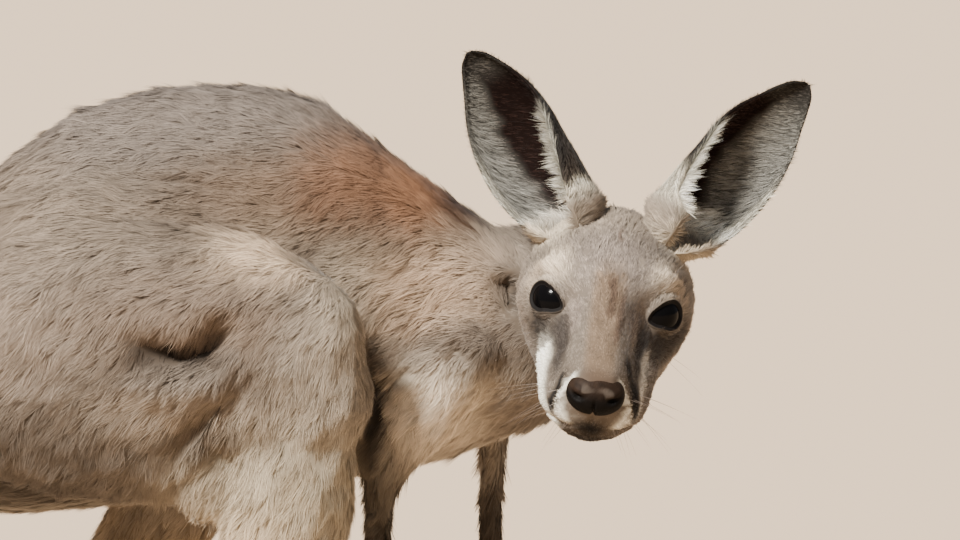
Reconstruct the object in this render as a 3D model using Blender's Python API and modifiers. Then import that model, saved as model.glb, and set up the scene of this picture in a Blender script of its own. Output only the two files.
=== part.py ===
"""Young female red kangaroo, crouched on its hind feet, hands and tail, with its head turned to its right.

Frame: metres, +X the way the body faces, +Y the animal's left, +Z up, the floor at Z = 0.
The flesh is modelled whole from lofts, fused into one surface, and then parted with thin cuts into
named solids. Tables below are in millimetres, and MM turns them into metres.
"""

import math

import bmesh
import bpy
import numpy as np
from mathutils import Matrix, Vector

MM = 0.001

# ---------------------------------------------------------------- driving sizes, in millimetres
FUSE_VOXEL = 2.0  # size of the voxels that fuse the lofts
FUSE_PASSES = 2  # smoothing passes over the fused surface
BODY_PASSES = 40  # and more of them on the broad masses
LAST_PASSES = 3  # and a few over everything
FLESH_TRIANGLES = 3400  # triangles of the whole flesh, before it is parted
SEAM = 0.4  # width of the thin cuts between two nodes
FLOOR_BLOCK = ((-900, -300, -60), (400, 300, 0))  # what is cut away below the feet

EYE_RADIUS = 12.0
EYE_SIDE = 22.5  # from the middle of the head to an eye's centre
EYE_RISE = -4.0  # and above that middle
EYE_SEGMENTS = 15  # round an eyeball

HEAD_AT = (191.0, -87.0, 297.0)  # the point half way between the eyes' centres
HEAD_DOWN = 25.0  # degrees the nose drops below the line of sight
HEAD_ROLL = 8.4  # degrees the head leans to its left
SIGHT_DROP = 8.0  # degrees that line of sight rises above level

EAR_WALL = 3.0

FINISHES = {  # colour and roughness of each kind of node
    "back": ((0.33, 0.27, 0.22), 0.9),
    "thigh": ((0.45, 0.37, 0.29), 0.9),
    "limb": ((0.50, 0.42, 0.33), 0.9),
    "head": ((0.36, 0.30, 0.26), 0.85),
    "ear": ((0.20, 0.14, 0.11), 0.8),
    "nose": ((0.05, 0.035, 0.03), 0.5),
    "eye": ((0.008, 0.006, 0.005), 0.08),
    "claw": ((0.06, 0.05, 0.045), 0.35),
}
KINDS = [  # the first that a node's name starts with says what finish it has
    ("trunk", "back"),
    ("rump", "back"),
    ("neck", "back"),
    ("chest", "back"),
    ("tail", "back"),
    ("thigh", "thigh"),
    ("head", "head"),
    ("lower_jaw", "head"),
    ("ear", "ear"),
    ("nose", "nose"),
    ("eye", "eye"),
    ("claw", "claw"),
    ("", "limb"),
]

LEFT, RIGHT = 1, -1
SIDE_NAME = {LEFT: "left", RIGHT: "right"}


# ---------------------------------------------------------------- curves
def smooth_line(pairs, at):
    """Monotone cubic through (position, value...) rows: it never swings past the values it is given."""
    rows = np.array(pairs, float)
    x, y = rows[:, 0], rows[:, 1:]
    if x[0] > x[-1]:
        x, y = x[::-1], y[::-1]
    step = np.diff(x)[:, None]
    slope = np.diff(y, axis=0) / step
    tangent = np.zeros_like(y)
    tangent[0], tangent[-1] = slope[0], slope[-1]
    before, after = slope[:-1], slope[1:]
    same_way = before * after > 0
    w1, w2 = 2 * step[1:] + step[:-1], step[1:] + 2 * step[:-1]
    with np.errstate(divide="ignore", invalid="ignore"):
        mean = (w1 + w2) / (w1 / before + w2 / after)
    tangent[1:-1] = np.where(same_way, mean, 0.0)
    at = np.clip(np.atleast_1d(np.asarray(at, float)), x[0], x[-1])
    k = np.clip(np.searchsorted(x, at) - 1, 0, len(x) - 2)
    h = (x[k + 1] - x[k])[:, None]
    t = (at - x[k])[:, None] / h
    return (
        (1 + 2 * t) * (1 - t) ** 2 * y[k]
        + t * (1 - t) ** 2 * h * tangent[k]
        + t * t * (3 - 2 * t) * y[k + 1]
        + t * t * (t - 1) * h * tangent[k + 1]
    )


def along_path(stations, count):
    """Rows of a table (x, y, z, sizes...) made into count rows, evenly spread along the path."""
    rows = np.array(stations, float)
    run = np.concatenate([[0], np.cumsum(np.linalg.norm(np.diff(rows[:, :3], axis=0), axis=1))])
    return smooth_line(np.column_stack([run, rows]), np.linspace(0, run[-1], count))


def unit(vectors):
    return vectors / np.linalg.norm(vectors, axis=-1, keepdims=True)


# ---------------------------------------------------------------- lofts
def mesh_of_rings(rings, folded=False):
    """A closed mesh of rings of equal length.

    Each end has a fan over it, or, where a ring runs out along one wall and back along another,
    a strip between the two walls.
    """
    rings = np.asarray(rings, float) * MM
    count, around = rings.shape[:2]
    mesh = bmesh.new()
    verts = [[mesh.verts.new(p) for p in ring] for ring in rings]
    for low, high in zip(verts, verts[1:]):
        for j in range(around):
            k = (j + 1) % around
            mesh.faces.new([low[j], low[k], high[k], high[j]])
    for ring, end in ((verts[0], rings[0]), (verts[-1], rings[-1])):
        if folded:
            for j in range(around // 2 - 1):
                mesh.faces.new([ring[j], ring[j + 1], ring[around - 2 - j], ring[around - 1 - j]])
        else:
            tip = mesh.verts.new(end.mean(axis=0))
            for j in range(around):
                mesh.faces.new([ring[j], ring[(j + 1) % around], tip])
    bmesh.ops.recalc_face_normals(mesh, faces=mesh.faces)
    if mesh.calc_volume(signed=True) < 0:
        bmesh.ops.reverse_faces(mesh, faces=mesh.faces)
    return mesh


def rounded_ends(sizes, centres, tangents, caps, dome):
    """Adds shrinking rings past both ends, so that a limb ends in a dome and not in a flat disc."""
    dome = np.radians(dome)
    back, ahead = dome, dome[::-1]
    before = centres[0] - caps[0] * np.sin(back)[:, None] * tangents[0]
    after = centres[-1] + caps[1] * np.sin(ahead)[:, None] * tangents[-1]
    centres = np.vstack([before, centres, after])
    sizes = np.vstack([np.cos(back)[:, None] * sizes[0], sizes, np.cos(ahead)[:, None] * sizes[-1]])
    starts = np.repeat(tangents[:1], len(dome), axis=0)
    ends = np.repeat(tangents[-1:], len(dome), axis=0)
    return sizes, centres, np.vstack([starts, tangents, ends])


def limb(
    stations,
    up_hint=(0, 0, 1),
    count=40,
    around=28,
    squareness=2.0,
    caps=None,
    dome=(78, 60, 42, 22),
):
    """A loft of oval rings along a path.

    A station is (x, y, z, side, up, down), the last three half sizes.
    """
    rows = along_path(stations, count)
    centres, sizes = rows[:, :3], rows[:, 3:6]
    tangents = unit(np.gradient(centres, axis=0))
    if caps is None:
        caps = (sizes[0].min(), sizes[-1].min())
    sizes, centres, tangents = rounded_ends(sizes, centres, tangents, caps, dome)
    hint = np.array(up_hint, float)
    up = unit(hint - (tangents @ hint)[:, None] * tangents)
    side = np.cross(up, tangents)
    angle = np.linspace(0, 2 * math.pi, around, endpoint=False)
    power = 2 / squareness
    across = np.sign(np.cos(angle)) * np.abs(np.cos(angle)) ** power
    along = np.sign(np.sin(angle)) * np.abs(np.sin(angle)) ** power
    height = np.where(along[None, :] > 0, sizes[:, 1:2], sizes[:, 2:3]) * along[None, :]
    width = sizes[:, :1] * across[None, :]
    rings = centres[:, None] + width[..., None] * side[:, None] + height[..., None] * up[:, None]
    return mesh_of_rings(rings)


# ---------------------------------------------------------------- trunk, tail and legs
# x, y, z of the widest level, then half width, height above it and depth below it
TRUNK = [
    (-150, 0, 255, 40, 44, 50),
    (-122, 0, 256, 56, 73, 66),
    (-95, 0, 257, 64, 94, 78),
    (-47, 0, 258, 68, 124, 75),
    (0, 0, 259, 66, 132, 71),
    (30, 0, 260, 61, 131, 68),
    (50, 0, 261, 57, 127, 66),
    (85, 0, 262.5, 50, 106, 64.5),
    (118, 0, 264, 45, 78, 58),
    (142, 1, 265, 43, 58, 50),
]
NECK = [
    (112, 1, 271, 42, 62, 60),
    (142, 3, 272, 41, 55, 54),
    (168, 2, 280, 39, 46, 50),
    (187, -12, 291, 37, 42, 46),
    (193, -38, 296, 36, 38, 42),
]
TAIL = [
    (-118, 0, 262, 46, 52, 52),
    (-160, 0, 242, 38, 43, 43),
    (-198, 1, 206, 31, 35, 35),
    (-234, 3, 160, 26, 29, 29),
    (-268, 6, 112, 22.5, 25, 25),
    (-306, 10, 69, 19.5, 21.5, 21.5),
    (-352, 16, 36, 17, 18.5, 18.5),
    (-405, 22, 18, 15, 15.5, 17),
    (-465, 26, 12, 12.5, 13, 14),
    (-530, 25, 9.5, 10.5, 11, 11.5),
    (-600, 17, 7.4, 8.2, 8.4, 9.2),
    (-655, 6, 5.6, 6.2, 6.4, 7.4),
    (-700, -8, 4.2, 4.6, 4.8, 6.0),
]
FLANK = [  # fills the hollow between the back and the top of the thigh
    (-130, 28, 262, 30, 46, 40),
    (-90, 36, 282, 38, 58, 50),
    (-45, 40, 296, 38, 58, 50),
    (-5, 40, 302, 30, 48, 40),
]
THIGH = [
    (-118, 44, 256, 30, 46, 44),
    (-88, 55, 260, 42, 66, 58),
    (-45, 63, 262, 46, 72, 65),
    (0, 67, 262, 44, 72, 68),
    (30, 73, 256, 38, 66, 64),
    (48, 80, 238, 30, 46, 42),
]
SHANK = [
    (48, 83, 232, 26, 30, 34),
    (46, 84, 208, 28, 33, 35),
    (40, 84, 180, 26, 31, 32),
    (19, 83, 145, 20, 24, 26),
    (-14, 81, 105, 15, 16.5, 19),
    (-46, 80, 70, 12.5, 13, 16),
    (-68, 80, 42, 13.5, 14, 18),
]
FOOT = [
    (-92, 80, 15, 12, 15, 18),
    (-74, 80, 21, 15, 20, 24),
    (-50, 80, 19, 15.5, 17, 22),
    (-5, 81, 13.5, 15, 12.5, 16),
    (45, 83, 11.5, 15.5, 11.5, 14),
    (85, 84, 10.5, 15, 10.5, 13),
    (104, 84, 10, 11, 9.5, 12.5),
]
TOES = {  # the big fourth toe, the outer fifth, and the slim joined second and third
    "fourth": [(82, 85, 10, 10, 10, 12), (115, 85, 9, 9, 9, 11.5), (141, 85, 8, 7.5, 7.5, 10.5)],
    "fifth": [(78, 95, 9, 8, 8, 11.5), (106, 98, 7.5, 6.5, 7, 10), (120, 99, 7, 5.5, 6, 9.4)],
    "second": [(80, 73, 9, 6.5, 7, 11), (104, 71, 6.5, 5, 5.5, 9), (115, 71, 6, 4.4, 4.8, 8.4)],
}
TOE_CLAWS = {
    "fourth": [(140, 85, 9.5, 3.8, 3.6, 4), (152, 85, 8.4, 3.2, 3, 3.4), (163, 85, 4.6, 1.6, 1.6, 2.2)],
    "fifth": [(119, 99, 8, 3.2, 3, 3.4), (129, 100, 6.8, 2.6, 2.4, 2.8), (137, 101, 4, 1.3, 1.3, 1.8)],
    "second": [(114, 71, 7, 2.6, 2.2, 2.6), (121, 71, 6, 2, 1.8, 2.2), (127, 71, 3.8, 1.1, 1.1, 1.4)],
}
LEG_STEP = {LEFT: -55.0, RIGHT: 0.0}  # the left hind foot stands further back

ARMS = {  # shoulder to elbow, and elbow to wrist, of each side
    RIGHT: [
        [(124, 34, 270, 17, 24, 24), (108, 38, 244, 16, 24, 23), (90, 40, 214, 12.5, 17, 17)],
        [
            (88, 40, 212, 12, 15, 14),
            (85, 39, 190, 9.5, 10.5, 10.5),
            (84, 37, 150, 8.2, 8.8, 8.8),
            (84, 35, 90, 7.4, 7.6, 7.6),
            (86, 33, 44, 8, 8, 8),
        ],
    ],
    LEFT: [
        [(130, 36, 270, 17, 24, 24), (138, 40, 244, 15, 20, 20), (139, 42, 214, 12, 13, 13)],
        [
            (139, 42, 210, 11, 10.5, 10.5),
            (138, 41, 180, 9.2, 9, 9),
            (137, 39, 140, 8.2, 8.2, 8.2),
            (137, 37, 90, 7.4, 7.6, 7.6),
            (139, 36, 44, 8, 8, 8),
        ],
    ],
}
HAND = [
    (0, 0, 52, 8, 8.5, 8.5),
    (3, 0, 30, 10, 9, 9),
    (9, 0, 15, 12.5, 9.5, 12),
    (20, 0, 8, 13, 8, 12),
    (28, 0, 7, 11, 6.4, 10),
]
HAND_TURN = {LEFT: 12.0, RIGHT: -6.0}  # degrees that the fingers turn to the animal's left
FINGER_SPREAD = (-30, -15, 0, 15, 30)  # degrees, thumb side to little finger
FINGER_REACH = (17, 22, 24, 22, 17)
# Share of the finger's reach, then height, half width, height above and depth below
FINGER = [(0, 8, 4.6, 4.8, 8), (0.55, 6.6, 4.0, 4.2, 8), (1, 5.4, 3.4, 3.4, 7)]
PALM = 18.0  # from the wrist to where a finger leaves the palm
FINGER_CLAW_LENGTH = 11.0
FINGER_CLAW = [(0, 5.2, 1.6, 1.5, 1.7), (0.5, 4.9, 1.4, 1.5, 1.7), (1, 2.8, 0.8, 0.9, 1.2)]


def turned(stations, degrees, at):
    """Stations turned about the vertical and moved to at."""
    c, s = math.cos(math.radians(degrees)), math.sin(math.radians(degrees))
    return [(at[0] + c * x - s * y, at[1] + s * x + c * y, z, *sizes) for x, y, z, *sizes in stations]


def mirrored(stations, side, forward=0.0):
    """A left leg's stations, or their mirror image for the right leg, moved along the body."""
    return [(x + forward, side * y, z, *sizes) for x, y, z, *sizes in stations]


def finger(side, index, at, claw=False):
    """One finger, a short tube that leaves the palm at its own angle, or the claw on its tip."""
    spread, reach = math.radians(FINGER_SPREAD[index] * side), FINGER_REACH[index]
    start, length, table = (PALM, reach, FINGER)
    if claw:
        start, length, table = (PALM + reach, FINGER_CLAW_LENGTH, FINGER_CLAW)
    local = []
    for share, *rest in table:
        run = start + share * length
        local.append((run * math.cos(spread), run * math.sin(spread), *rest))
    return turned(local, HAND_TURN[side], at)


# ---------------------------------------------------------------- head
# Lines of the head against the distance forward of the eyes: heights and half widths.
CROWN_LINE = [
    (-78, 6), (-62, 21), (-44, 27.5), (-22, 27.5), (0, 22), (18, 14), (36, 8.5), (54, 5), (68, 2.5),
    (76, -1.5), (80.5, -8),
]
BROW_SIDE = [
    (-78, 17), (-55, 27), (-30, 31), (-8, 28), (8, 19.5), (24, 13.5), (45, 11.5), (66, 11), (76, 9),
    (80.5, 5),
]
BROW_LEVEL = [
    (-78, 0), (-50, 12), (-20, 14), (0, 12.5), (20, 6.5), (45, 1.5), (66, -2), (76, -4),
    (80.5, -10),
]
CHEEK_SIDE = [
    (-78, 24), (-58, 35), (-34, 42.5), (-16, 41), (0, 35), (14, 29), (30, 25.5), (48, 22.5),
    (62, 19.5), (72, 16), (78, 11), (80.5, 7),
]
CHEEK_LEVEL = [
    (-78, -14), (-30, -14), (0, -16), (20, -19), (48, -19), (72, -18), (80.5, -15),
]
JAW_SIDE = [
    (-78, 17), (-50, 26), (-20, 27), (5, 24.5), (30, 22.5), (50, 20.5), (64, 17), (73, 12.5),
    (78, 7.5), (80.5, 4.5),
]
JAW_LEVEL = [
    (-78, -30), (-40, -42), (-10, -45), (20, -43), (50, -39), (64, -35), (73, -30), (78, -23),
    (80.5, -19),
]
THROAT_LINE = [
    (-78, -36), (-50, -50), (-20, -55), (10, -53), (40, -49), (58, -46), (68, -41), (74.5, -34),
    (78.5, -26), (80.5, -21),
]
HEAD_BACK, HEAD_FRONT = -78.0, 80.5  # where those lines start and end
MUZZLE = 66.0  # beyond here the rings stand closer
MUZZLE_RINGS = 14


def head_axes():
    """The head's own axes, forward, left and up, as the columns of a matrix in the body's frame."""
    drop, roll, rise = (math.radians(v) for v in (HEAD_DOWN, HEAD_ROLL, SIGHT_DROP))
    across = Vector((1, 0, 0))
    upwards = Vector((0, math.sin(rise), math.cos(rise)))
    sight = Matrix((across, upwards, across.cross(upwards))).transposed()
    lean = Vector((math.sin(roll), math.cos(roll), 0))
    forward = Vector((0, 0, math.cos(drop))) - math.sin(drop) * lean
    left = Vector((math.cos(roll), -math.sin(roll), 0))
    return sight @ Matrix((forward, left, forward.cross(left))).transposed()


def head_point(local):
    """A point given in the head's millimetres, in the body's millimetres."""
    return np.array(HEAD_AT) + np.asarray(local, float) @ np.array(head_axes()).T


def head_rings(count=64, around=64):
    """Rings of the head, one at each distance forward.

    A ring is a closed curve through the crown, brow, cheek, jaw and throat.
    """
    back = np.linspace(HEAD_BACK, MUZZLE, count - MUZZLE_RINGS)
    forward = np.concatenate([back, np.linspace(MUZZLE + 1, HEAD_FRONT, MUZZLE_RINGS)])

    def line(table):
        return smooth_line(table, forward)[:, 0]

    none = np.zeros_like(forward)
    half = [
        (line(BROW_SIDE), line(BROW_LEVEL)),
        (line(CHEEK_SIDE), line(CHEEK_LEVEL)),
        (line(JAW_SIDE), line(JAW_LEVEL)),
    ]
    corners = [(none, line(CROWN_LINE)), *half, (none, line(THROAT_LINE))]
    corners += [(-side, level) for side, level in reversed(half)]
    corners = np.stack([np.stack(corner, axis=1) for corner in corners], axis=1)
    turn = np.linspace(0, 8, around, endpoint=False)
    k = turn.astype(int)
    t = (turn - k)[None, :, None]
    p0, p1, p2, p3 = (corners[:, (k + shift) % 8] for shift in (-1, 0, 1, 2))
    bend = 2 * p0 - 5 * p1 + 4 * p2 - p3
    twist = 3 * p1 - p0 - 3 * p2 + p3
    ring = 0.5 * (2 * p1 + (p2 - p0) * t + bend * t**2 + twist * t**3)
    depth = np.broadcast_to(forward[:, None, None], (*ring.shape[:2], 1))
    return np.concatenate([depth, ring], axis=2)


# Swellings and hollows: forward, side, up, radius, height. A side that isn't 0 is made on both sides.
FORMS = [
    (2, 27, 15, 10, 3.2),  # brow over the eye
    (22, 17, 3, 8, -2.0),  # hollow before the eye
    (-2, 35, -15, 9, 1.8),  # cheekbone under the eye
    (-38, 36, -30, 16, 2.5),  # muscle of the jaw
    (66, 17, -22, 8, 2.0),  # whisker pad
    (79, 8.5, -11, 4.0, -1.6),  # nostril
    (79, 0, -13, 4.5, 1.4),  # nose pad
    (81, 0, -24, 2.5, -1.2),  # cleft of the lip
    (66, 19, -33, 6, -1.0),  # corner of the mouth
]
MIDDLE_LEVEL = -14.0  # of the line that the swellings push away from
SNOUT = 60.0  # beyond here they push partly forward too
SNOUT_LEAN = 0.25


def shaped(points, forms):
    """Pushes points out from the head's middle line by each form's bell-shaped height."""
    axis = points * [1, 0, 0] + [0, 0, MIDDLE_LEVEL]
    out = unit(points - axis + [SNOUT_LEAN, 0, 0] * (points[..., :1] > SNOUT))
    push = np.zeros(points.shape[:-1])
    for forward, side, up, radius, height in forms:
        for sign in {1, -1} if side else {1}:
            gap = np.linalg.norm(points - [forward, sign * side, up], axis=-1)
            push += height * np.exp(-((gap / radius) ** 2))
    return points + out * push[..., None]


# ---------------------------------------------------------------- ears
# Root, tip and the way the cup faces, in the head's axes; the side is counted outwards
EARS = {
    RIGHT: {"root": (-42, 23, 19), "tip": (-86, 76, 79), "faces": (0.91, 0.10, 0.42)},
    LEFT: {"root": (-44, 29, 22), "tip": (-90, 75, 86), "faces": (0.88, 0.22, 0.42)},
}
EAR_FOOT = -0.16  # where the ear starts inside the head, as a share of its length below the root
# Each row is a share of the length up the ear and a value there
EAR_RADIUS = [
    (EAR_FOOT, 7),
    (-0.08, 15),
    (0.0, 19.4),
    (0.1, 20.8),
    (0.2, 22.1),
    (0.33, 22.9),
    (0.5, 22.6),
    (0.6, 21.3),
    (0.7, 18.9),
    (0.8, 15.1),
    (0.9, 10.6),
    (0.96, 7.2),
    (1.0, 2.5),
]
EAR_SHIFT = [
    (EAR_FOOT, 0),
    (0.0, 0.5),
    (0.2, 3.6),
    (0.4, 5.2),
    (0.6, 4.6),
    (0.8, 3.8),
    (0.9, 4.2),
    (1.0, 5.0),
]
# degrees of wall round the cup, on the outer side and on the side next to the crown
EAR_OUTER_SWEEP = [(EAR_FOOT, 150), (0.0, 120), (0.15, 92), (0.3, 78), (0.6, 72), (1.0, 70)]
EAR_INNER_SWEEP = [
    (EAR_FOOT, 170),
    (0.0, 165),
    (0.16, 150),
    (0.3, 137),
    (0.5, 122),
    (0.65, 105),
    (0.8, 92),
    (1.0, 84),
]
EAR_SAG = 4.0  # how far the middle of the ear bows backwards
EAR_FLATTENING = 0.38  # how much of the cup's depth is lost at the tip
EAR_CROWDING = 0.85  # below 1, the rings stand closer towards the tip
EAR_LEAST_RADIUS = 0.3  # of the cup's inside, at the tip


def ear_rings(side, along=13, across=10):
    """A rolled leaf: at each distance up the ear, an arc of wall round the cup, with thickness."""
    place = {key: np.array(value, float) * [1, side, 1] for key, value in EARS[side].items()}
    root, tip, faces = place["root"], place["tip"], place["faces"]
    upwards = unit(tip - root)
    faces = unit(faces - (faces @ upwards) * upwards)
    outwards = np.cross(upwards, faces) * side
    up = EAR_FOOT + (1 - EAR_FOOT) * np.linspace(0, 1, along) ** EAR_CROWDING
    outer, inner = (np.radians(smooth_line(rows, up)) for rows in (EAR_OUTER_SWEEP, EAR_INNER_SWEEP))
    angle = -inner + (outer + inner) * np.linspace(0, 1, across)[None, :]
    widest = np.sin(np.minimum(outer, math.pi / 2))
    reach = np.where(angle > 0, np.sin(angle) / widest, np.sin(angle))
    depth = 1 - EAR_FLATTENING * np.maximum(up, 0)[:, None]
    middle = root + up[:, None] * (tip - root) - (EAR_SAG * np.sin(math.pi * up))[:, None] * faces
    middle = middle + smooth_line(EAR_SHIFT, up) * outwards
    radius = smooth_line(EAR_RADIUS, up)
    walls = []
    for wall in (radius, np.maximum(radius - EAR_WALL, EAR_LEAST_RADIUS)):
        out = (wall * reach)[..., None] * outwards
        back = (wall * depth * np.cos(angle))[..., None] * faces
        walls.append(middle[:, None] + out - back)
    return head_point(np.concatenate([walls[0], walls[1][:, ::-1]], axis=1))


# ---------------------------------------------------------------- objects
HEAD_REACH = (62, 102)  # distances from the head's middle that end it
LIMB_TOPS = (100, 190)  # heights over which the limbs pass into the body
TAIL_START = (-330, -230)
DIGIT_TOPS = (30, 60)
DIGIT_BACKS = (-60, -30)  # hands and toes lie ahead of these
FINE_DIGITS = 0.3  # how much of the head's fineness the digits miss
COARSE_LEAST, COARSE_MOST = 0.88, 0.96


def fresh_scene():
    for obj in list(bpy.data.objects):
        bpy.data.objects.remove(obj)
    solids = bpy.data.collections.new("kangaroo")
    cutters = bpy.data.collections.new("cutters")
    cutters.hide_render = True
    for collection in (solids, cutters):
        bpy.context.scene.collection.children.link(collection)
    return solids, cutters


def new_object(name, mesh, collection):
    """An object of a bmesh, which is freed."""
    data = bpy.data.meshes.new(name)
    mesh.to_mesh(data)
    mesh.free()
    obj = bpy.data.objects.new(name, data)
    collection.objects.link(obj)
    if collection.name == "cutters":
        obj.hide_render = True
        obj.display_type = "WIRE"
    return obj


def settled(obj):
    """Replaces an object's mesh by what its modifiers make of it."""
    bpy.context.view_layer.update()
    graph = bpy.context.evaluated_depsgraph_get()
    made = bpy.data.meshes.new_from_object(obj.evaluated_get(graph))
    obj.modifiers.clear()
    obj.data = made
    return obj


def boolean(obj, cutter, operation):
    modifier = obj.modifiers.new("cut", "BOOLEAN")
    modifier.operation = operation
    modifier.object = cutter
    modifier.solver = "EXACT"
    settled(obj)
    mesh = bmesh.new()
    mesh.from_mesh(obj.data)
    bmesh.ops.triangulate(mesh, faces=mesh.faces)
    mesh.to_mesh(obj.data)
    mesh.free()
    return obj


def fused(name, meshes, collection, voxel, passes):
    """Lofts joined by a voxel remesh into one closed surface, then smoothed."""
    whole = bmesh.new()
    for mesh in meshes:
        data = bpy.data.meshes.new("loft")
        mesh.to_mesh(data)
        mesh.free()
        whole.from_mesh(data)
    obj = new_object(name, whole, collection)
    remesh = obj.modifiers.new("fuse", "REMESH")
    remesh.mode = "VOXEL"
    remesh.voxel_size = voxel * MM
    smooth = obj.modifiers.new("smooth", "SMOOTH")
    smooth.factor = 0.5
    smooth.iterations = passes
    return settled(obj)


def flesh_lofts():
    """The lofts of the whole body, in one list."""
    lofts = [limb(TRUNK, squareness=2.1), limb(NECK), limb(TAIL, count=70)]
    for side in (LEFT, RIGHT):
        step = LEG_STEP[side]
        lofts.append(limb(mirrored(FLANK, side)))
        lofts.append(limb(mirrored(THIGH, side, step * 0.5)))
        lofts.append(limb(mirrored(SHANK, side, step), up_hint=(1, 0, 0.6)))
        lofts.append(limb(mirrored(FOOT, side, step), squareness=2.4))
        for toe in TOES.values():
            lofts.append(limb(mirrored(toe, side, step), count=16, around=16))
        for part in ARMS[side]:
            lofts.append(limb(mirrored(part, side), up_hint=(1, 0, 0)))
        lofts.append(limb(turned(HAND, HAND_TURN[side], wrist(side)), up_hint=(0.6, 0, 1), count=20))
        for index in range(len(FINGER_SPREAD)):
            lofts.append(limb(finger(side, index, wrist(side)), count=10, around=12))
    lofts.append(mesh_of_rings(head_point(shaped(head_rings(), FORMS))))
    return lofts


def wrist(side):
    """Where a forearm ends, seen from above."""
    end = ARMS[side][1][-1]
    return (end[0], side * end[1])


def ramp(values, low, high):
    """0 below low, 1 above high, straight between."""
    return np.clip((values - low) / (high - low), 0, 1)


def off_head(points):
    """0 on the head, rising to 1 a short way down the neck."""
    return ramp(np.linalg.norm(points - np.array(HEAD_AT), axis=1), *HEAD_REACH)


def body_weight(points):
    """1 on the broad masses, which are smoothed more, falling to 0 on the head, limbs and tail."""
    off_limbs = ramp(points[:, 2], *LIMB_TOPS)
    off_tail = ramp(points[:, 0], *TAIL_START)
    return off_limbs * off_head(points) * off_tail


def coarse_weight(points):
    """How readily each place gives up triangles: least on the head, hands and toes."""
    off_digits = np.maximum(ramp(points[:, 2], *DIGIT_TOPS), ramp(-points[:, 0], *DIGIT_BACKS))
    coarse = off_head(points) * (FINE_DIGITS + (1 - FINE_DIGITS) * off_digits)
    return COARSE_LEAST + (COARSE_MOST - COARSE_LEAST) * coarse


def set_group(obj, name, weights):
    """A vertex group with these weights."""
    group = obj.vertex_groups.new(name=name)
    for index, weight in enumerate(weights):
        group.add([index], float(weight), "REPLACE")


def vertex_array(obj):
    flat = np.empty(len(obj.data.vertices) * 3, np.float32)
    obj.data.vertices.foreach_get("co", flat)
    return flat.reshape(-1, 3).astype(float) / MM


# ---------------------------------------------------------------- cutters
def frame_matrix(centre, normal, up=(0, 0, 1)):
    """A placement whose Z axis points along normal."""
    z = Vector(normal).normalized()
    x = Vector(up).cross(z).normalized()
    turn = Matrix((x, z.cross(x), z)).transposed().to_4x4()
    return Matrix.Translation(Vector(centre) * MM) @ turn


def block(low, high, grow=0.0, place=None):
    """A box between two corners, made larger all round by grow."""
    size = [h - l + 2 * grow for l, h in zip(low, high)]
    middle = Vector([(l + h) / 2 for l, h in zip(low, high)]) * MM
    mesh = bmesh.new()
    bmesh.ops.create_cube(mesh, size=1)
    mesh.transform(Matrix.Translation(middle) @ Matrix.Diagonal((*[s * MM for s in size], 1)))
    if place is not None:
        mesh.transform(place)
    return mesh


def beyond(centre, normal, reach, half, grow=0.0):
    """A box that starts at a plane and reaches out along its normal."""
    return block((-half, -half, 0), (half, half, reach), grow, frame_matrix(centre, normal))


def ball(centre, radii, grow=0.0, place=None, segments=24):
    """An ellipsoid."""
    mesh = bmesh.new()
    bmesh.ops.create_uvsphere(mesh, u_segments=segments, v_segments=segments * 2 // 3, radius=1)
    scale = Matrix.Diagonal((*[(r + grow) * MM for r in radii], 1))
    mesh.transform(Matrix.Translation(Vector(centre) * MM) @ scale)
    if place is not None:
        mesh.transform(place)
    return mesh


def head_place():
    """From the head's axes to the world's."""
    return Matrix.Translation(Vector(HEAD_AT) * MM) @ head_axes().to_4x4()


def limb_box(side, x, y, z, step, grow):
    """A block given by its ranges, y counted outwards from the middle."""
    low, high = sorted((side * y[0], side * y[1]))
    return block((x[0] + step, low, z[0]), (x[1] + step, high, z[1]), grow)


def leg_parts(side):
    """Ranges in x, y (outwards) and z, and the step, of the nodes of one side's limbs."""
    step = LEG_STEP[side]
    return {
        "foot": ((-120, 170), (60, 120), (-5, 43), step),
        "shank": ((-110, 100), (44, 125), (42, 186), step),
        "thigh": ((-165, 100), (44, 125), (140, 338), 0.0),
        "hand": ((60, 200), (2, 80), (-5, 40), 0.0),
        "forearm": ((66, 160), (18, 70), (38, 196), 0.0),
        "upper_arm": ((80, 165), (33, 70), (190, 300), 0.0),
    }


def parts_in_order():
    """Name and volume of each piece parted off the flesh, in turn. What is left is the trunk."""
    order = [
        ("lower_jaw", lambda g: block((8, -40, -70), (100, 40, -31), g, head_place())),
        ("nose", lambda g: ball((80, 0, -13), (9, 13, 9), g, head_place(), 12)),
        ("head", lambda g: beyond((190, -26.5, 292), (0.42, -0.908, 0.1), 190, 78, g)),
        ("neck", lambda g: beyond((153, 2, 276), (0.93, -0.08, 0.36), 100, 75, g)),
    ]
    for side, name in SIDE_NAME.items():
        for part, box in leg_parts(side).items():
            order.append((f"{part}_{name}", lambda g, s=side, box=box: limb_box(s, *box, g)))
    order += [
        ("tail_tip", lambda g: beyond((-470, 26, 12), (-1, 0, -0.02), 260, 60, g)),
        ("tail_middle", lambda g: beyond((-285, 8, 92), (-0.66, 0, -0.75), 300, 90, g)),
        ("tail_base", lambda g: beyond((-152, 0, 244), (-0.84, 0, -0.54), 260, 76, g)),
        ("chest", lambda g: block((80, -90, 150), (220, 90, 420), g)),
        ("rump", lambda g: block((-260, -120, 120), (-85, 120, 420), g)),
    ]
    return order


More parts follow.
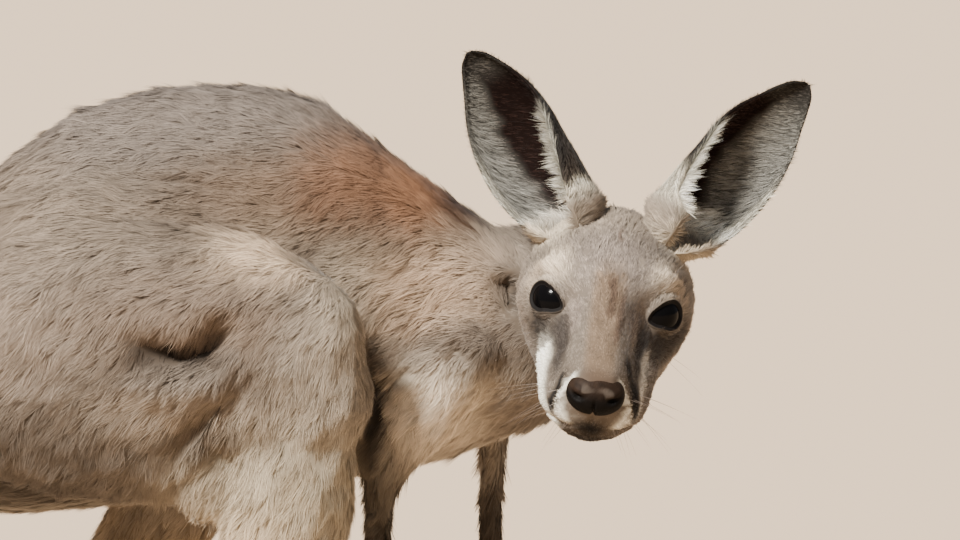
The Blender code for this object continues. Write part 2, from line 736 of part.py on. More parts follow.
def biggest_piece(obj):
    """Deletes all but the largest loose piece of an object; the rest are shavings of the cuts."""
    mesh = bmesh.new()
    mesh.from_mesh(obj.data)
    mesh.verts.ensure_lookup_table()
    left, pieces = set(mesh.verts), []
    while left:
        edge, piece = [left.pop()], set()
        while edge:
            vert = edge.pop()
            piece.add(vert)
            near = {e.other_vert(vert) for e in vert.link_edges} & left
            left -= near
            edge.extend(near)
        pieces.append(piece)
    pieces.sort(key=len)
    shavings = [vert for piece in pieces[:-1] for vert in piece]
    bmesh.ops.delete(mesh, geom=shavings, context="VERTS")
    bmesh.ops.triangulate(mesh, faces=mesh.faces)
    mesh.to_mesh(obj.data)
    mesh.free()
    return obj


def copied(obj, name, collection):
    """Another object with its own copy of a mesh."""
    other = bpy.data.objects.new(name, obj.data.copy())
    collection.objects.link(other)
    return other


def part_off(rest, name, volume, solids, cutters):
    """Moves what lies inside a volume to a node of its own, with a thin gap round it."""
    inside = new_object(f"{name}_inside", volume(0.0), cutters)
    around = new_object(f"{name}_around", volume(SEAM), cutters)
    piece = boolean(copied(rest, name, solids), inside, "INTERSECT")
    biggest_piece(piece)
    boolean(rest, around, "DIFFERENCE")
    return piece


def grown_from(flesh, name, mesh, outwards, solids):
    """A piece that stands on the flesh, as a claw does: cut to its surface and set off by a seam."""
    piece = biggest_piece(boolean(new_object(name, mesh, solids), flesh, "DIFFERENCE"))
    piece.data.transform(Matrix.Translation(Vector(outwards).normalized() * SEAM * MM))
    return piece


def way(stations):
    """The direction from the first station to the last."""
    return [end - start for start, end in zip(stations[0][:3], stations[-1][:3])]


def whole_flesh(solids, cutters):
    """The body in one surface: fused, smoothed, thinned out and set on the floor."""
    flesh = fused("trunk", flesh_lofts(), solids, FUSE_VOXEL, FUSE_PASSES)
    set_group(flesh, "body", body_weight(vertex_array(flesh)))
    for group, passes in (("body", BODY_PASSES), ("", LAST_PASSES)):
        smooth = flesh.modifiers.new("smooth", "SMOOTH")
        smooth.factor = 0.5
        smooth.iterations = passes
        smooth.vertex_group = group
    settled(flesh)
    flesh.vertex_groups.clear()
    set_group(flesh, "coarse", coarse_weight(vertex_array(flesh)))
    thin = flesh.modifiers.new("thin", "DECIMATE")
    thin.ratio = FLESH_TRIANGLES / len(flesh.data.polygons) / 2
    thin.vertex_group = "coarse"
    settled(flesh)
    flesh.vertex_groups.clear()
    floor = new_object("floor", block(*FLOOR_BLOCK), cutters)
    return boolean(flesh, floor, "DIFFERENCE")


def painted(obj):
    """Gives a node a material of its own, in the finish of its kind."""
    kind = next(kind for start, kind in KINDS if obj.name.startswith(start))
    colour, roughness = FINISHES[kind]
    material = bpy.data.materials.new(obj.name)
    material.use_nodes = True
    shader = material.node_tree.nodes["Principled BSDF"]
    shader.inputs["Base Color"].default_value = (*colour, 1)
    shader.inputs["Roughness"].default_value = roughness
    shader.inputs["Metallic"].default_value = 0.0
    material.diffuse_color = (*colour, 1)
    obj.data.materials.clear()
    obj.data.materials.append(material)


def centred(collection):
    """Moves every mesh so that the middle of the footprint stands on the origin."""
    points = np.concatenate([vertex_array(obj) for obj in collection.objects]) * MM
    middle = (points.min(axis=0) + points.max(axis=0)) / 2
    for obj in collection.objects:
        obj.data.transform(Matrix.Translation((-middle[0], -middle[1], 0)))


def add_claws(flesh, side, solids):
    """The claws of one side's toes and fingers."""
    name = SIDE_NAME[side]
    for toe, stations in TOE_CLAWS.items():
        stations = mirrored(stations, side, LEG_STEP[side])
        claw = limb(stations, count=4, around=7, caps=(1, 1), dome=(45,))
        grown_from(flesh, f"claw_{toe}_{name}", claw, way(stations), solids)
    for index in range(len(FINGER_SPREAD)):
        stations = finger(side, index, wrist(side), claw=True)
        claw = limb(stations, count=3, around=6, caps=(1, 0.6), dome=(45,))
        grown_from(flesh, f"claw_finger_{index + 1}_{name}", claw, way(stations), solids)


def add_eye(flesh, side, solids, cutters):
    """One eyeball, and the socket it sits in."""
    name, at = SIDE_NAME[side], (0, side * EYE_SIDE, EYE_RISE)
    radii = [EYE_RADIUS] * 3
    new_object(f"eye_{name}", ball(at, radii, 0, head_place(), EYE_SEGMENTS), solids)
    hollow = ball(at, radii, SEAM, head_place(), EYE_SEGMENTS)
    boolean(flesh, new_object(f"socket_{name}", hollow, cutters), "DIFFERENCE")


def main():
    solids, cutters = fresh_scene()
    flesh = whole_flesh(solids, cutters)
    for side, name in SIDE_NAME.items():
        ear = ear_rings(side)
        ear_way = (ear[-1] - ear[0]).mean(axis=0)
        grown_from(flesh, f"ear_{name}", mesh_of_rings(ear, folded=True), ear_way, solids)
        add_claws(flesh, side, solids)
        add_eye(flesh, side, solids, cutters)
    for name, volume in parts_in_order():
        part_off(flesh, name, volume, solids, cutters)
    biggest_piece(flesh)
    centred(solids)
    for obj in solids.objects:
        painted(obj)


main()
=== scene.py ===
"""Looks of a crouching young red kangaroo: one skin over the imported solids, a coat of solid tufts, eyes and claws.

Tables are in the body's millimetres: +X the way the body faces, +Y the animal's left, +Z up from the floor. Places on
the head are in the head's own millimetres, counted from the middle between its eyes: forward, to its left, and up.
Colours are linear.
"""

import logging
import math
from dataclasses import dataclass
from enum import Enum, IntEnum

import bmesh
import bpy
import numpy as np
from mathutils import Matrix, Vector
from mathutils.bvhtree import BVHTree


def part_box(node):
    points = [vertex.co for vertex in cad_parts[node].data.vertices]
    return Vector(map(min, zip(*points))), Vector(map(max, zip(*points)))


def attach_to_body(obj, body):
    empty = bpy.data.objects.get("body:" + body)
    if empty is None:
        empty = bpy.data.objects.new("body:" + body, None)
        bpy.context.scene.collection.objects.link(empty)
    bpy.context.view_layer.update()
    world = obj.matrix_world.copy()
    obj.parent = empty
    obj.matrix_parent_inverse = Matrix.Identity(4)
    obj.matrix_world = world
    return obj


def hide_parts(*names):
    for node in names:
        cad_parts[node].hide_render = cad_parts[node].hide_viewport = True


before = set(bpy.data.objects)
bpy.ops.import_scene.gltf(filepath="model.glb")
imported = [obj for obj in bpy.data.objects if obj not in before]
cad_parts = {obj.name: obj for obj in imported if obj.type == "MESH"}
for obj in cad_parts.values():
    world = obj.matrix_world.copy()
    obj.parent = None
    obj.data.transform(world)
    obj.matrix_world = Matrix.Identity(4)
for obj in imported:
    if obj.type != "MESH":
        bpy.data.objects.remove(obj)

log = logging.getLogger("kangaroo")
MM = 0.001


class Side(IntEnum):
    """The animal's two sides, each as the sign of its Y."""

    LEFT = 1
    RIGHT = -1

    @property
    def word(self) -> str:
        """The side's word in the names of nodes and pieces."""
        return self.name.lower()


LEFT, RIGHT = Side.LEFT, Side.RIGHT

# ---------------------------------------------------------------- driving values, as in the solids
EYES_AT = (191.0, -87.0, 297.0)  # middle of the head between its eyes, in the body's millimetres
EYE_RISE = -4.0  # the eyes' centres above that middle
EYE_RADIUS = 12.0
EYE_SIDE = 22.5
HEAD_DOWN = 25.0  # degrees the muzzle points down
HEAD_ROLL = 8.4  # degrees the head leans to one side
HEAD_TILT = 8.0  # degrees the whole head leans back
LEG_STEP = {LEFT: -55.0, RIGHT: 0.0}  # how far forward of its table each hind leg stands
ARM_STEP = {LEFT: 53.0, RIGHT: 0.0}
TAIL_FROM = -180.0  # X behind which the tables of the tail count
SKULL_MIDDLE = (-5.0, 0.0, -14.0)  # in the head's millimetres
FACE_NARROWING = 0.6  # distances count this much in front of the eyes, so that the whole muzzle is face

# ---------------------------------------------------------------- skin
SKIN_VOXEL = 1.1
SKIN_FACES = 150_000
SKIN_SMOOTH = 12
SKIN_SHADE = 0.6  # the skin's colour as a part of the coat's


def unit(vectors: np.ndarray) -> np.ndarray:
    """Vectors made one long, along the last axis."""
    return vectors / np.maximum(np.linalg.norm(vectors, axis=-1, keepdims=True), 1e-12)


def blend(base: np.ndarray, other: np.ndarray, share: np.ndarray) -> np.ndarray:
    """Mixes other into base by its share."""
    return np.asarray(base) * (1 - share) + np.asarray(other) * share


def smoothstep(low: float, high: float, values: np.ndarray) -> np.ndarray:
    """0 before low, 1 past high, and a soft step between; where high is below low the step falls."""
    t = np.clip((values - low) / (high - low), 0.0, 1.0)
    return t * t * (3 - 2 * t)


def steady_line(rows: tuple, at: np.ndarray) -> np.ndarray:
    """Straight lines through rows of a position and a value, read at some positions."""
    table = np.array(rows, float)
    return np.interp(at, table[:, 0], table[:, 1])


class Noise:
    """Smooth noise between -1 and 1, from a lattice of random values that repeats."""

    SIZE = 24

    def __init__(self, seed: int) -> None:
        """Draws the values of the lattice."""
        self.values = np.random.default_rng(seed).uniform(-1, 1, (self.SIZE,) * 3)

    def at(self, points: np.ndarray, scale: float) -> np.ndarray:
        """Reads the noise.

        Args:
            points: (N, 3) places in millimetres.
            scale: size of one cell of the lattice.

        Returns:
            (N,) values.
        """
        q = points / np.asarray(scale, float)
        cell = np.floor(q).astype(int)
        t = q - cell
        t = t * t * (3 - 2 * t)
        total = np.zeros(len(points))
        for corner in np.ndindex(2, 2, 2):
            index = (cell + corner) % self.SIZE
            weight = np.prod(np.where(corner, t, 1 - t), axis=1)
            total += weight * self.values[index[:, 0], index[:, 1], index[:, 2]]
        return total


FINE_NOISE, BROAD_NOISE, TONE_NOISE = (Noise(seed) for seed in (5, 8, 13))


# ---------------------------------------------------------------- places on the animal
def head_turn() -> np.ndarray:
    """The head's forward, left and up axes, as the columns of a matrix in the body's frame.

    Returns:
        (3, 3) array.
    """
    drop, roll, rise = (math.radians(v) for v in (HEAD_DOWN, HEAD_ROLL, HEAD_TILT))
    right = np.array([1.0, 0.0, 0.0])
    high = np.array([0.0, math.sin(rise), math.cos(rise)])
    near = np.array([0.0, -math.cos(rise), math.sin(rise)])
    forward = -math.sin(roll) * math.sin(drop) * right - math.cos(roll) * math.sin(drop) * high + math.cos(drop) * near
    left = math.cos(roll) * right - math.sin(roll) * high
    return np.stack([forward, left, np.cross(forward, left)], 1)


HEAD_TURN = head_turn()


@dataclass(frozen=True)
class Places:
    """Changes between the world's metres, the body's millimetres and the head's millimetres."""

    shift: np.ndarray

    @classmethod
    def from_frame(cls) -> "Places":
        """Finds the body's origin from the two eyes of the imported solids.

        Returns:
            The places.
        """
        middle = np.mean([np.mean(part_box(f"eye_{side.word}"), axis=0) for side in Side], axis=0) / MM
        return cls(middle - (np.array(EYES_AT) + HEAD_TURN[:, 2] * EYE_RISE))

    def world(self, body: np.ndarray) -> np.ndarray:
        """Body millimetres to world metres."""
        return (np.asarray(body, float) + self.shift) * MM

    def body(self, world: np.ndarray) -> np.ndarray:
        """World metres to body millimetres."""
        return np.asarray(world, float) / MM - self.shift

    def body_from_head(self, local: np.ndarray) -> np.ndarray:
        """Head millimetres to body millimetres."""
        return np.asarray(local, float) @ HEAD_TURN.T + EYES_AT

    def head(self, body: np.ndarray) -> np.ndarray:
        """Body millimetres to head millimetres."""
        return (np.asarray(body, float) - EYES_AT) @ HEAD_TURN

    def skull_gap(self, body: np.ndarray) -> np.ndarray:
        """Distance of body places from the middle of the skull."""
        return np.linalg.norm(self.head(body) - SKULL_MIDDLE, axis=1)


PLACES = Places.from_frame()


# ---------------------------------------------------------------- materials
class Finish(Enum):
    """Names of the materials."""

    COAT = "coat"
    SKIN = "skin"
    NOSE = "nose"
    EYE = "eye"
    CLAW = "claw"
    WHISKER = "whisker"
    LID = "lid"
    FLOOR = "floor"


@dataclass(frozen=True)
class Look:
    """Constants of one Principled shader. A colour of None reads the mesh's colour attribute."""

    colour: tuple | None = None
    roughness: float = 0.6
    specular: float = 0.5
    sheen: float = 0.0
    coat: float = 0.0
    bump: float = 0.0
    bump_scale: float = 900.0
    bump_depth: float = 0.0004
    coat_roughness: float = 0.03


LOOKS = {
    Finish.COAT: Look(roughness=0.7, specular=0.14, sheen=0.04),
    Finish.SKIN: Look(roughness=0.85, specular=0.05, bump=0.15, bump_scale=1500.0),
    Finish.NOSE: Look(roughness=0.6, specular=0.05, bump=0.5, bump_scale=1100.0),
    Finish.EYE: Look(roughness=0.14, specular=0.05),
    Finish.CLAW: Look(colour=(0.045, 0.036, 0.03), roughness=0.32, specular=0.5, coat=0.3),
    Finish.WHISKER: Look(colour=(0.16, 0.13, 0.11), roughness=0.4),
    Finish.LID: Look(roughness=0.7, specular=0.10, bump=0.3, bump_scale=1500.0),
    Finish.FLOOR: Look(colour=(0.52, 0.39, 0.27), roughness=0.9, specular=0.2),
}
COLOUR = "Colour"  # name of the colour attribute


def material(finish: Finish) -> bpy.types.Material:
    """The material of a finish, made once.

    Args:
        finish: which one.

    Returns:
        The material.
    """
    name = f"kangaroo_{finish.value}"
    if name in bpy.data.materials:
        return bpy.data.materials[name]
    look = LOOKS[finish]
    made = bpy.data.materials.new(name)
    made.use_nodes = True
    nodes, links = made.node_tree.nodes, made.node_tree.links
    shader = nodes["Principled BSDF"]
    shader.inputs["Roughness"].default_value = look.roughness
    shader.inputs["Specular IOR Level"].default_value = look.specular
    shader.inputs["Sheen Weight"].default_value = look.sheen
    shader.inputs["Coat Weight"].default_value = look.coat
    shader.inputs["Coat Roughness"].default_value = look.coat_roughness
    if look.colour is None:
        attribute = nodes.new("ShaderNodeAttribute")
        attribute.attribute_name = COLOUR
        links.new(attribute.outputs["Color"], shader.inputs["Base Color"])
    else:
        shader.inputs["Base Color"].default_value = (*look.colour, 1)
    if look.bump:
        grain, bump = nodes.new("ShaderNodeTexNoise"), nodes.new("ShaderNodeBump")
        grain.inputs["Scale"].default_value = look.bump_scale
        bump.inputs["Strength"].default_value = look.bump
        bump.inputs["Distance"].default_value = look.bump_depth
        links.new(nodes.new("ShaderNodeTexCoord").outputs["Object"], grain.inputs["Vector"])
        links.new(grain.outputs["Fac"], bump.inputs["Height"])
        links.new(bump.outputs["Normal"], shader.inputs["Normal"])
    return made


# ---------------------------------------------------------------- meshes
def link(name: str, data: bpy.types.ID) -> bpy.types.Object:
    """Puts data in the scene as an object.

    Args:
        name: the object's name.
        data: its mesh, camera or light.

    Returns:
        The object.
    """
    obj = bpy.data.objects.new(name, data)
    bpy.context.scene.collection.objects.link(obj)
    return obj


def paint(mesh: bpy.types.Mesh, colours: np.ndarray) -> None:
    """Stores one colour for each vertex of a mesh.

    Args:
        mesh: the mesh.
        colours: (N, 3) colours.
    """
    layer = mesh.color_attributes.new(COLOUR, "FLOAT_COLOR", "POINT")
    filled = np.concatenate([np.clip(colours, 0, 1), np.ones((len(colours), 1))], 1)
    layer.data.foreach_set("color", filled.astype(np.float32).ravel())


def new_mesh(
    name: str,
    points: np.ndarray,
    faces: np.ndarray | list,
    colours: np.ndarray | None = None,
    finish: Finish = Finish.SKIN,
    uv: np.ndarray | None = None,
    smooth: bool = True,
) -> bpy.types.Object:
    """An object of a mesh given in world metres.

    Args:
        name: the object's name.
        points: (N, 3) vertices.
        faces: (M, 3) or (M, 4) indices, or a list of such arrays.
        colours: (N, 3) colours of the vertices, or None.
        finish: its material.
        uv: (loops, 2) OFBake coordinates in face order, or None.
        smooth: whether its shading is smooth.

    Returns:
        The object.
    """
    blocks = faces if isinstance(faces, list) else [faces]
    sizes = np.concatenate([np.full(len(b), b.shape[1]) for b in blocks])
    loops = np.concatenate([b.ravel() for b in blocks]).astype(np.int32)
    mesh = bpy.data.meshes.new(name)
    mesh.vertices.add(len(points))
    mesh.vertices.foreach_set("co", np.asarray(points, np.float32).ravel())
    mesh.loops.add(len(loops))
    mesh.loops.foreach_set("vertex_index", loops)
    mesh.polygons.add(len(sizes))
    mesh.polygons.foreach_set("loop_start", np.concatenate([[0], np.cumsum(sizes)[:-1]]).astype(np.int32))
    mesh.polygons.foreach_set("use_smooth", np.full(len(sizes), smooth))
    mesh.update(calc_edges=True)
    if colours is not None:
        paint(mesh, colours)
    if uv is not None:
        mesh.uv_layers.new(name="OFBake").data.foreach_set("uv", np.asarray(uv, np.float32).ravel())
    mesh.materials.append(material(finish))
    return link(name, mesh)


def grid_faces(rows: int, columns: int, wrap: bool = False) -> np.ndarray:
    """Quads of a grid of points, row by row.

    Args:
        rows: number of rows.
        columns: number of points in a row.
        wrap: whether each row closes on itself.

    Returns:
        (M, 4) indices.
    """
    i = np.arange(rows - 1)[:, None]
    j = np.arange(columns if wrap else columns - 1)[None, :]
    k = (j + 1) % columns
    return np.stack([i * columns + j, i * columns + k, (i + 1) * columns + k, (i + 1) * columns + j], -1).reshape(-1, 4)


def ball_grid(rows: int, columns: int) -> np.ndarray:
    """Unit vectors over a ball, from the pole at +X to the other, each row a turn round X.

    Args:
        rows: number of rows.
        columns: number of vectors in a row.

    Returns:
        (rows, columns, 3) vectors.
    """
    polar = np.linspace(0, math.pi, rows)[:, None]
    turn = np.linspace(0, 2 * math.pi, columns, endpoint=False)[None, :]
    return np.stack([np.cos(polar) + 0 * turn, np.sin(polar) * np.cos(turn), np.sin(polar) * np.sin(turn)], -1)


def ring(middle: np.ndarray, one: np.ndarray, other: np.ndarray, around: int) -> np.ndarray:
    """Ovals round the places of a line.

    Args:
        middle: (N, 3) places.
        one: (N, 3) first half axes of the ovals.
        other: (N, 3) second half axes.
        around: points of an oval.

    Returns:
        (N, around, 3) points.
    """
    turn = np.linspace(0, 2 * math.pi, around, endpoint=False)[None, :, None]
    return middle[:, None] + one[:, None] * np.cos(turn) + other[:, None] * np.sin(turn)


def attach(obj: bpy.types.Object, *nodes: str, slot: str) -> bpy.types.Object:
    """Hangs a piece on the body's root and hides the solid nodes that it stands for.

    Args:
        obj: the piece.
        nodes: the solid nodes it replaces.
        slot: not used.

    Returns:
        The piece.
    """
    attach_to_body(obj, "root")
    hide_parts(*nodes)
    return obj


# ---------------------------------------------------------------- ears
def smooth_line(rows: tuple, at: np.ndarray) -> np.ndarray:
    """Monotone cubic through rows of a position and a value: it never swings past its rows.

    Args:
        rows: positions, rising, and values.
        at: positions to read.

    Returns:
        (N,) values.
    """
    table = np.array(rows, float)
    x, y = table[:, 0], table[:, 1]
    step, slope = np.diff(x), np.diff(y) / np.diff(x)
    tangent = np.concatenate([slope[:1], np.zeros(len(x) - 2), slope[-1:]])
    same = slope[:-1] * slope[1:] > 0
    total = np.where(same, slope[:-1] + slope[1:], 1.0)
    tangent[1:-1] = np.where(same, 2 * slope[:-1] * slope[1:] / total, 0.0)
    at = np.clip(np.asarray(at, float), x[0], x[-1])
    k = np.clip(np.searchsorted(x, at) - 1, 0, len(x) - 2)
    h = step[k]
    t = (at - x[k]) / h
    return (
        (1 + 2 * t) * (1 - t) ** 2 * y[k]
        + t * (1 - t) ** 2 * h * tangent[k]
        + t * t * (3 - 2 * t) * y[k + 1]
        + t * t * (t - 1) * h * tangent[k + 1]
    )


# Tables up the ear: 0 at its root, 1 at its tip. The radius and the shift outwards are millimetres, the sweeps degrees
# of wall round the cup.
EAR_FOOT = -0.16
EAR_RADIUS = (
    (EAR_FOOT, 7), (-0.08, 15), (0, 19.4), (0.1, 20.8), (0.2, 22.1), (0.33, 22.9), (0.5, 22.6), (0.6, 21.3),
    (0.7, 18.9), (0.8, 15.1), (0.9, 10.6), (0.96, 7.2), (1, 2.5),
)
EAR_SHIFT = (
    (EAR_FOOT, 0), (0, 0.5), (0.2, 3.6), (0.4, 5.2), (0.6, 4.6), (0.8, 3.8), (0.9, 4.2), (1, 5),
)
EAR_OUTER_SWEEP = (
    (EAR_FOOT, 150), (0, 120), (0.15, 92), (0.3, 78), (0.6, 72), (1, 70),
)
EAR_INNER_SWEEP = (
    (EAR_FOOT, 170), (0, 165), (0.16, 150), (0.3, 137), (0.5, 122), (0.65, 105), (0.8, 92), (1, 84),
)


@dataclass(frozen=True)
class EarColours:
    """Colours of an ear's parts."""

    back: tuple = (0.040, 0.030, 0.022)
    back_root: tuple = (0.60, 0.53, 0.41)
    rim: tuple = (0.018, 0.015, 0.013)
    hollow: tuple = (0.020, 0.0090, 0.0065)
    silver: tuple = (0.150, 0.142, 0.124)
    tip: tuple = (0.050, 0.044, 0.038)
    crown_edge: tuple = (0.62, 0.58, 0.48)
    outer_foot: tuple = (0.50, 0.46, 0.37)
    base: tuple = (0.85, 0.79, 0.66)


EAR = EarColours()


@dataclass(frozen=True)
class EarSpots:
    """Places on an ear, each value an array over them."""

    on: np.ndarray  # whether they are on it
    up: np.ndarray  # 0 at the root, 1 at the tip
    angle: np.ndarray  # degrees round the cup, positive on the outer side
    from_edge: np.ndarray  # degrees from the edge next to the crown
    ragged: np.ndarray  # degrees by which the borders of colours wander


@dataclass
class Ear:
    """A rolled leaf: an arc of wall round a cup at each distance up the ear. Its place is in the head's frame."""

    side: Side
    root: tuple
    tip: tuple
    faces: tuple
    uncurled: float  # degrees that the edge next to the crown stops short of its table
    band: float  # angle at which the silver hairs start
    pale_root: float  # how far up its pale root goes
    sag: float = 4.0
    flattening: float = 0.38
    hair: float = 0.9
    wall: float = 1.5
    edge: float = 32.0  # degrees from the edge next to the crown that its long hairs cover

    def frame(self) -> tuple:
        """Root, the way to the tip with its length, and unit vectors upwards, to the front and outwards.

        Returns:
            Five (3,) arrays.
        """
        root, tip, faces = (np.array(v, float) * [1, self.side, 1] for v in (self.root, self.tip, self.faces))
        upwards = unit(tip - root)
        faces = unit(faces - (faces @ upwards) * upwards)
        return root, tip - root, upwards, faces, np.cross(upwards, faces) * self.side

    def middle(self, up: np.ndarray) -> np.ndarray:
        """Middle line: from root to tip, bowed backwards as half a sine, and shifted outwards by its table.

        Args:
            up: distances up the ear.

        Returns:
            (N, 3) places.
        """
        root, reach, _, faces, outwards = self.frame()
        line = root + up[..., None] * reach - (self.sag * np.sin(math.pi * up))[..., None] * faces
        return line + smooth_line(EAR_SHIFT, up)[..., None] * outwards

    def inner_sweep(self, up: np.ndarray) -> np.ndarray:
        """Degrees of wall round the cup on the side next to the crown; full at the foot, and at the tip."""
        return smooth_line(EAR_INNER_SWEEP, up) - self.uncurled * smoothstep(0.0, 0.12, up) * smoothstep(1.0, 0.8, up)

    def surface(self, along: int = 84, across: int = 44) -> np.ndarray:
        """Points of the closed leaf.

        Each row runs out along the back wall and home along the inner wall. At an angle a round the cup the wall
        lies radius x sin(a) out to the side and radius x depth x cos(a) behind the middle line. On the outer side
        sin(a) is stretched so that the edge, though it stops short of a quarter turn, reaches the full radius.

        Args:
            along: rows up the ear.
            across: points of a row on each wall.

        Returns:
            (along, 2 across, 3) points in the head's millimetres.
        """
        _, _, _, faces, outwards = self.frame()
        up = EAR_FOOT + (1 - EAR_FOOT) * np.linspace(0, 1, along) ** 0.85
        outer = np.radians(smooth_line(EAR_OUTER_SWEEP, up))[:, None]
        inner = np.radians(self.inner_sweep(up))[:, None]
        angle = -inner + (outer + inner) * np.linspace(0, 1, across)[None, :]
        reach = np.where(angle > 0, np.sin(angle) / np.sin(np.minimum(outer, math.pi / 2)), np.sin(angle))
        depth = 1 - self.flattening * np.maximum(up, 0)[:, None]
        radius = smooth_line(EAR_RADIUS, up)[:, None] - self.hair
        walls = []
        for wall in (radius, np.maximum(radius - self.wall, 0.3)):
            out = (wall * reach)[..., None] * outwards
            back = (wall * depth * np.cos(angle))[..., None] * faces
            walls.append(self.middle(up)[:, None] + out - back)
        return np.concatenate([walls[0], walls[1][:, ::-1]], axis=1)

    def mesh(self) -> tuple:
        """The leaf, closed at both ends by a strip between the walls.

        Returns:
            Points in the body's millimetres and (M, 4) faces.
        """
        grid = self.surface()
        rows, columns = grid.shape[:2]
        sides = grid_faces(rows, columns, wrap=True)
        j = np.arange(columns // 2 - 1)
        strip = np.stack([j, j + 1, columns - 2 - j, columns - 1 - j], 1)
        faces = np.vstack([sides, strip, (strip + (rows - 1) * columns)[:, ::-1]])
        return PLACES.body_from_head(grid.reshape(-1, 3)), faces

    def spots(self, points: np.ndarray, local: np.ndarray) -> EarSpots:
        """Where places lie on the ear.

        Args:
            points: (N, 3) in the body's millimetres.
            local: the same places in the head's millimetres.

        Returns:
            The places as the ear sees them.
        """
        root, reach, upwards, faces, outwards = self.frame()
        up = (local - root) @ upwards / np.linalg.norm(reach)
        gap = local - self.middle(np.clip(up, EAR_FOOT, 1.0))
        side, back = gap @ outwards, -(gap @ faces) / (1 - self.flattening * np.clip(up, 0, 1))
        radius = smooth_line(EAR_RADIUS, up) - self.hair
        angle = np.degrees(np.arctan2(side, back))
        on = (up > -0.03) & (up < 1.1) & (np.hypot(side, back) < radius * 1.12 + 2.5)
        return EarSpots(on, up, angle, angle + self.inner_sweep(up), 7 * FINE_NOISE.at(points, 6.0))

    def margin(self, at: EarSpots) -> np.ndarray:
        """Share of the long white hairs on the lower part of the edge next to the crown."""
        return (smoothstep(self.edge, 20, at.from_edge + at.ragged) * smoothstep(0.62, 0.48, at.up))[:, None]

    def silver(self, at: EarSpots) -> np.ndarray:
        """Share of the silver hairs on the outer side of the cup and at its tip."""
        start = self.band * smoothstep(0.15, 0.5, at.up) + 6 * smoothstep(0.25, 0.5, at.up)
        return np.maximum(smoothstep(0, 16, at.angle - start + at.ragged), smoothstep(0.80, 0.95, at.up))[:, None]

    def back_colour(self, at: EarSpots) -> np.ndarray:
        """Grey-brown, black along the rim and at the tip, pale at the root next to the crown.

        Args:
            at: places on the ear.

        Returns:
            (N, 3) colours.
        """
        root = smoothstep(self.pale_root, 0.5 * self.pale_root, at.up + 0.004 * at.ragged)[:, None]
        colours = blend(EAR.back, EAR.back_root, root * smoothstep(85, 45, at.from_edge)[:, None])
        rim = smoothstep(30, 10, at.from_edge) * smoothstep(0.1, 0.35, at.up)
        return blend(colours, EAR.rim, np.maximum(rim, smoothstep(0.84, 0.95, at.up))[:, None])

    def front_colour(self, at: EarSpots) -> np.ndarray:
        """A brown hollow, silver hairs on the outer side, white hairs on the edge next to the crown and at the base.

        Args:
            at: places on the ear.

        Returns:
            (N, 3) colours.
        """
        foot = 0.12 + 0.45 * (self.pale_root - 0.14)
        colours = blend(EAR.hollow, EAR.silver, self.silver(at))
        colours = blend(colours, EAR.tip, smoothstep(0.76, 0.97, at.up)[:, None])
        colours = blend(colours, EAR.crown_edge, self.margin(at))
        outer = (smoothstep(0.60, 0.35, at.up) * smoothstep(58, 72, at.angle))[:, None]
        colours = blend(colours, EAR.outer_foot, outer)
        return blend(colours, EAR.base, smoothstep(foot, foot - 0.08, at.up + 0.006 * at.ragged)[:, None])

    def dress(self, points: np.ndarray, local: np.ndarray, local_normals: np.ndarray) -> tuple:
        """What the ear makes of the coat.

        Args:
            points: (N, 3) in the body's millimetres.
            local: the same places in the head's millimetres.
            local_normals: (N, 3) unit normals in the head's frame.

        Returns:
            Colour, direction, length and density of its hair, and its share, which is 0 off the ear.
        """
        at = self.spots(points, local)
        _, _, upwards, faces, outwards = self.frame()
        turn = np.radians(at.angle)[:, None]
        inside = ((local_normals * (np.sin(turn) * outwards - np.cos(turn) * faces)).sum(1) < 0.0) & at.on
        colours = np.where(inside[:, None], self.front_colour(at), self.back_colour(at))
        near_edge = at.from_edge < self.edge
        brim = np.maximum(smoothstep(14, 4, at.from_edge), smoothstep(60, 72, at.angle))
        over = np.where(
            inside[:, None],
            np.where(near_edge[:, None], outwards + 0.35 * upwards + 0.25 * faces, 0.8 * outwards + 0.6 * upwards),
            upwards + (0.15 + 0.9 * brim[:, None]) * np.sign(at.angle)[:, None] * outwards,
        )
        hollow = inside & (self.silver(at)[:, 0] < 0.35) & ~near_edge
        edge_length = 3.0 + 5.5 * self.margin(at)[:, 0]
        length = np.where(inside, np.where(near_edge, edge_length, np.where(hollow, 4.0, 6.5)), 3.4)
        length = length * (1 - 0.45 * smoothstep(40, 66, at.angle))
        length = length * (1 - 0.5 * smoothstep(0.6, 0.95, at.up))
        many = np.where(hollow, 0.8, np.where(near_edge & inside, 4.0, np.where(inside, 3.6, 4.2)))
        return colours, over @ HEAD_TURN.T, length, many, smoothstep(-0.02, 0.10, at.up) * at.on


EARS = (
    Ear(LEFT, (-44, 29, 22), (-90, 75, 86), (0.88, 0.22, 0.42), 26.0, -34.0, 0.34),
    Ear(RIGHT, (-42, 23, 19), (-86, 76, 79), (0.91, 0.10, 0.42), 0.0, 0.0, 0.14),
)

# ---------------------------------------------------------------- eyes
LOOK_FROM = (0.906, 0.0, 0.423)  # from which the angles round an eye are counted, in the head's axes
OPENING_AT = (36.0, 3.0)  # middle of the opening: degrees outwards and up from there
# Degrees round that middle, from straight outwards over the top, and the opening's half width there
OPENING = (
    (0, 42), (30, 40), (60, 34), (95, 27), (130, 27), (160, 31), (185, 42), (201, 50), (216, 42), (240, 31),
    (263, 28), (300, 32), (330, 38),
)


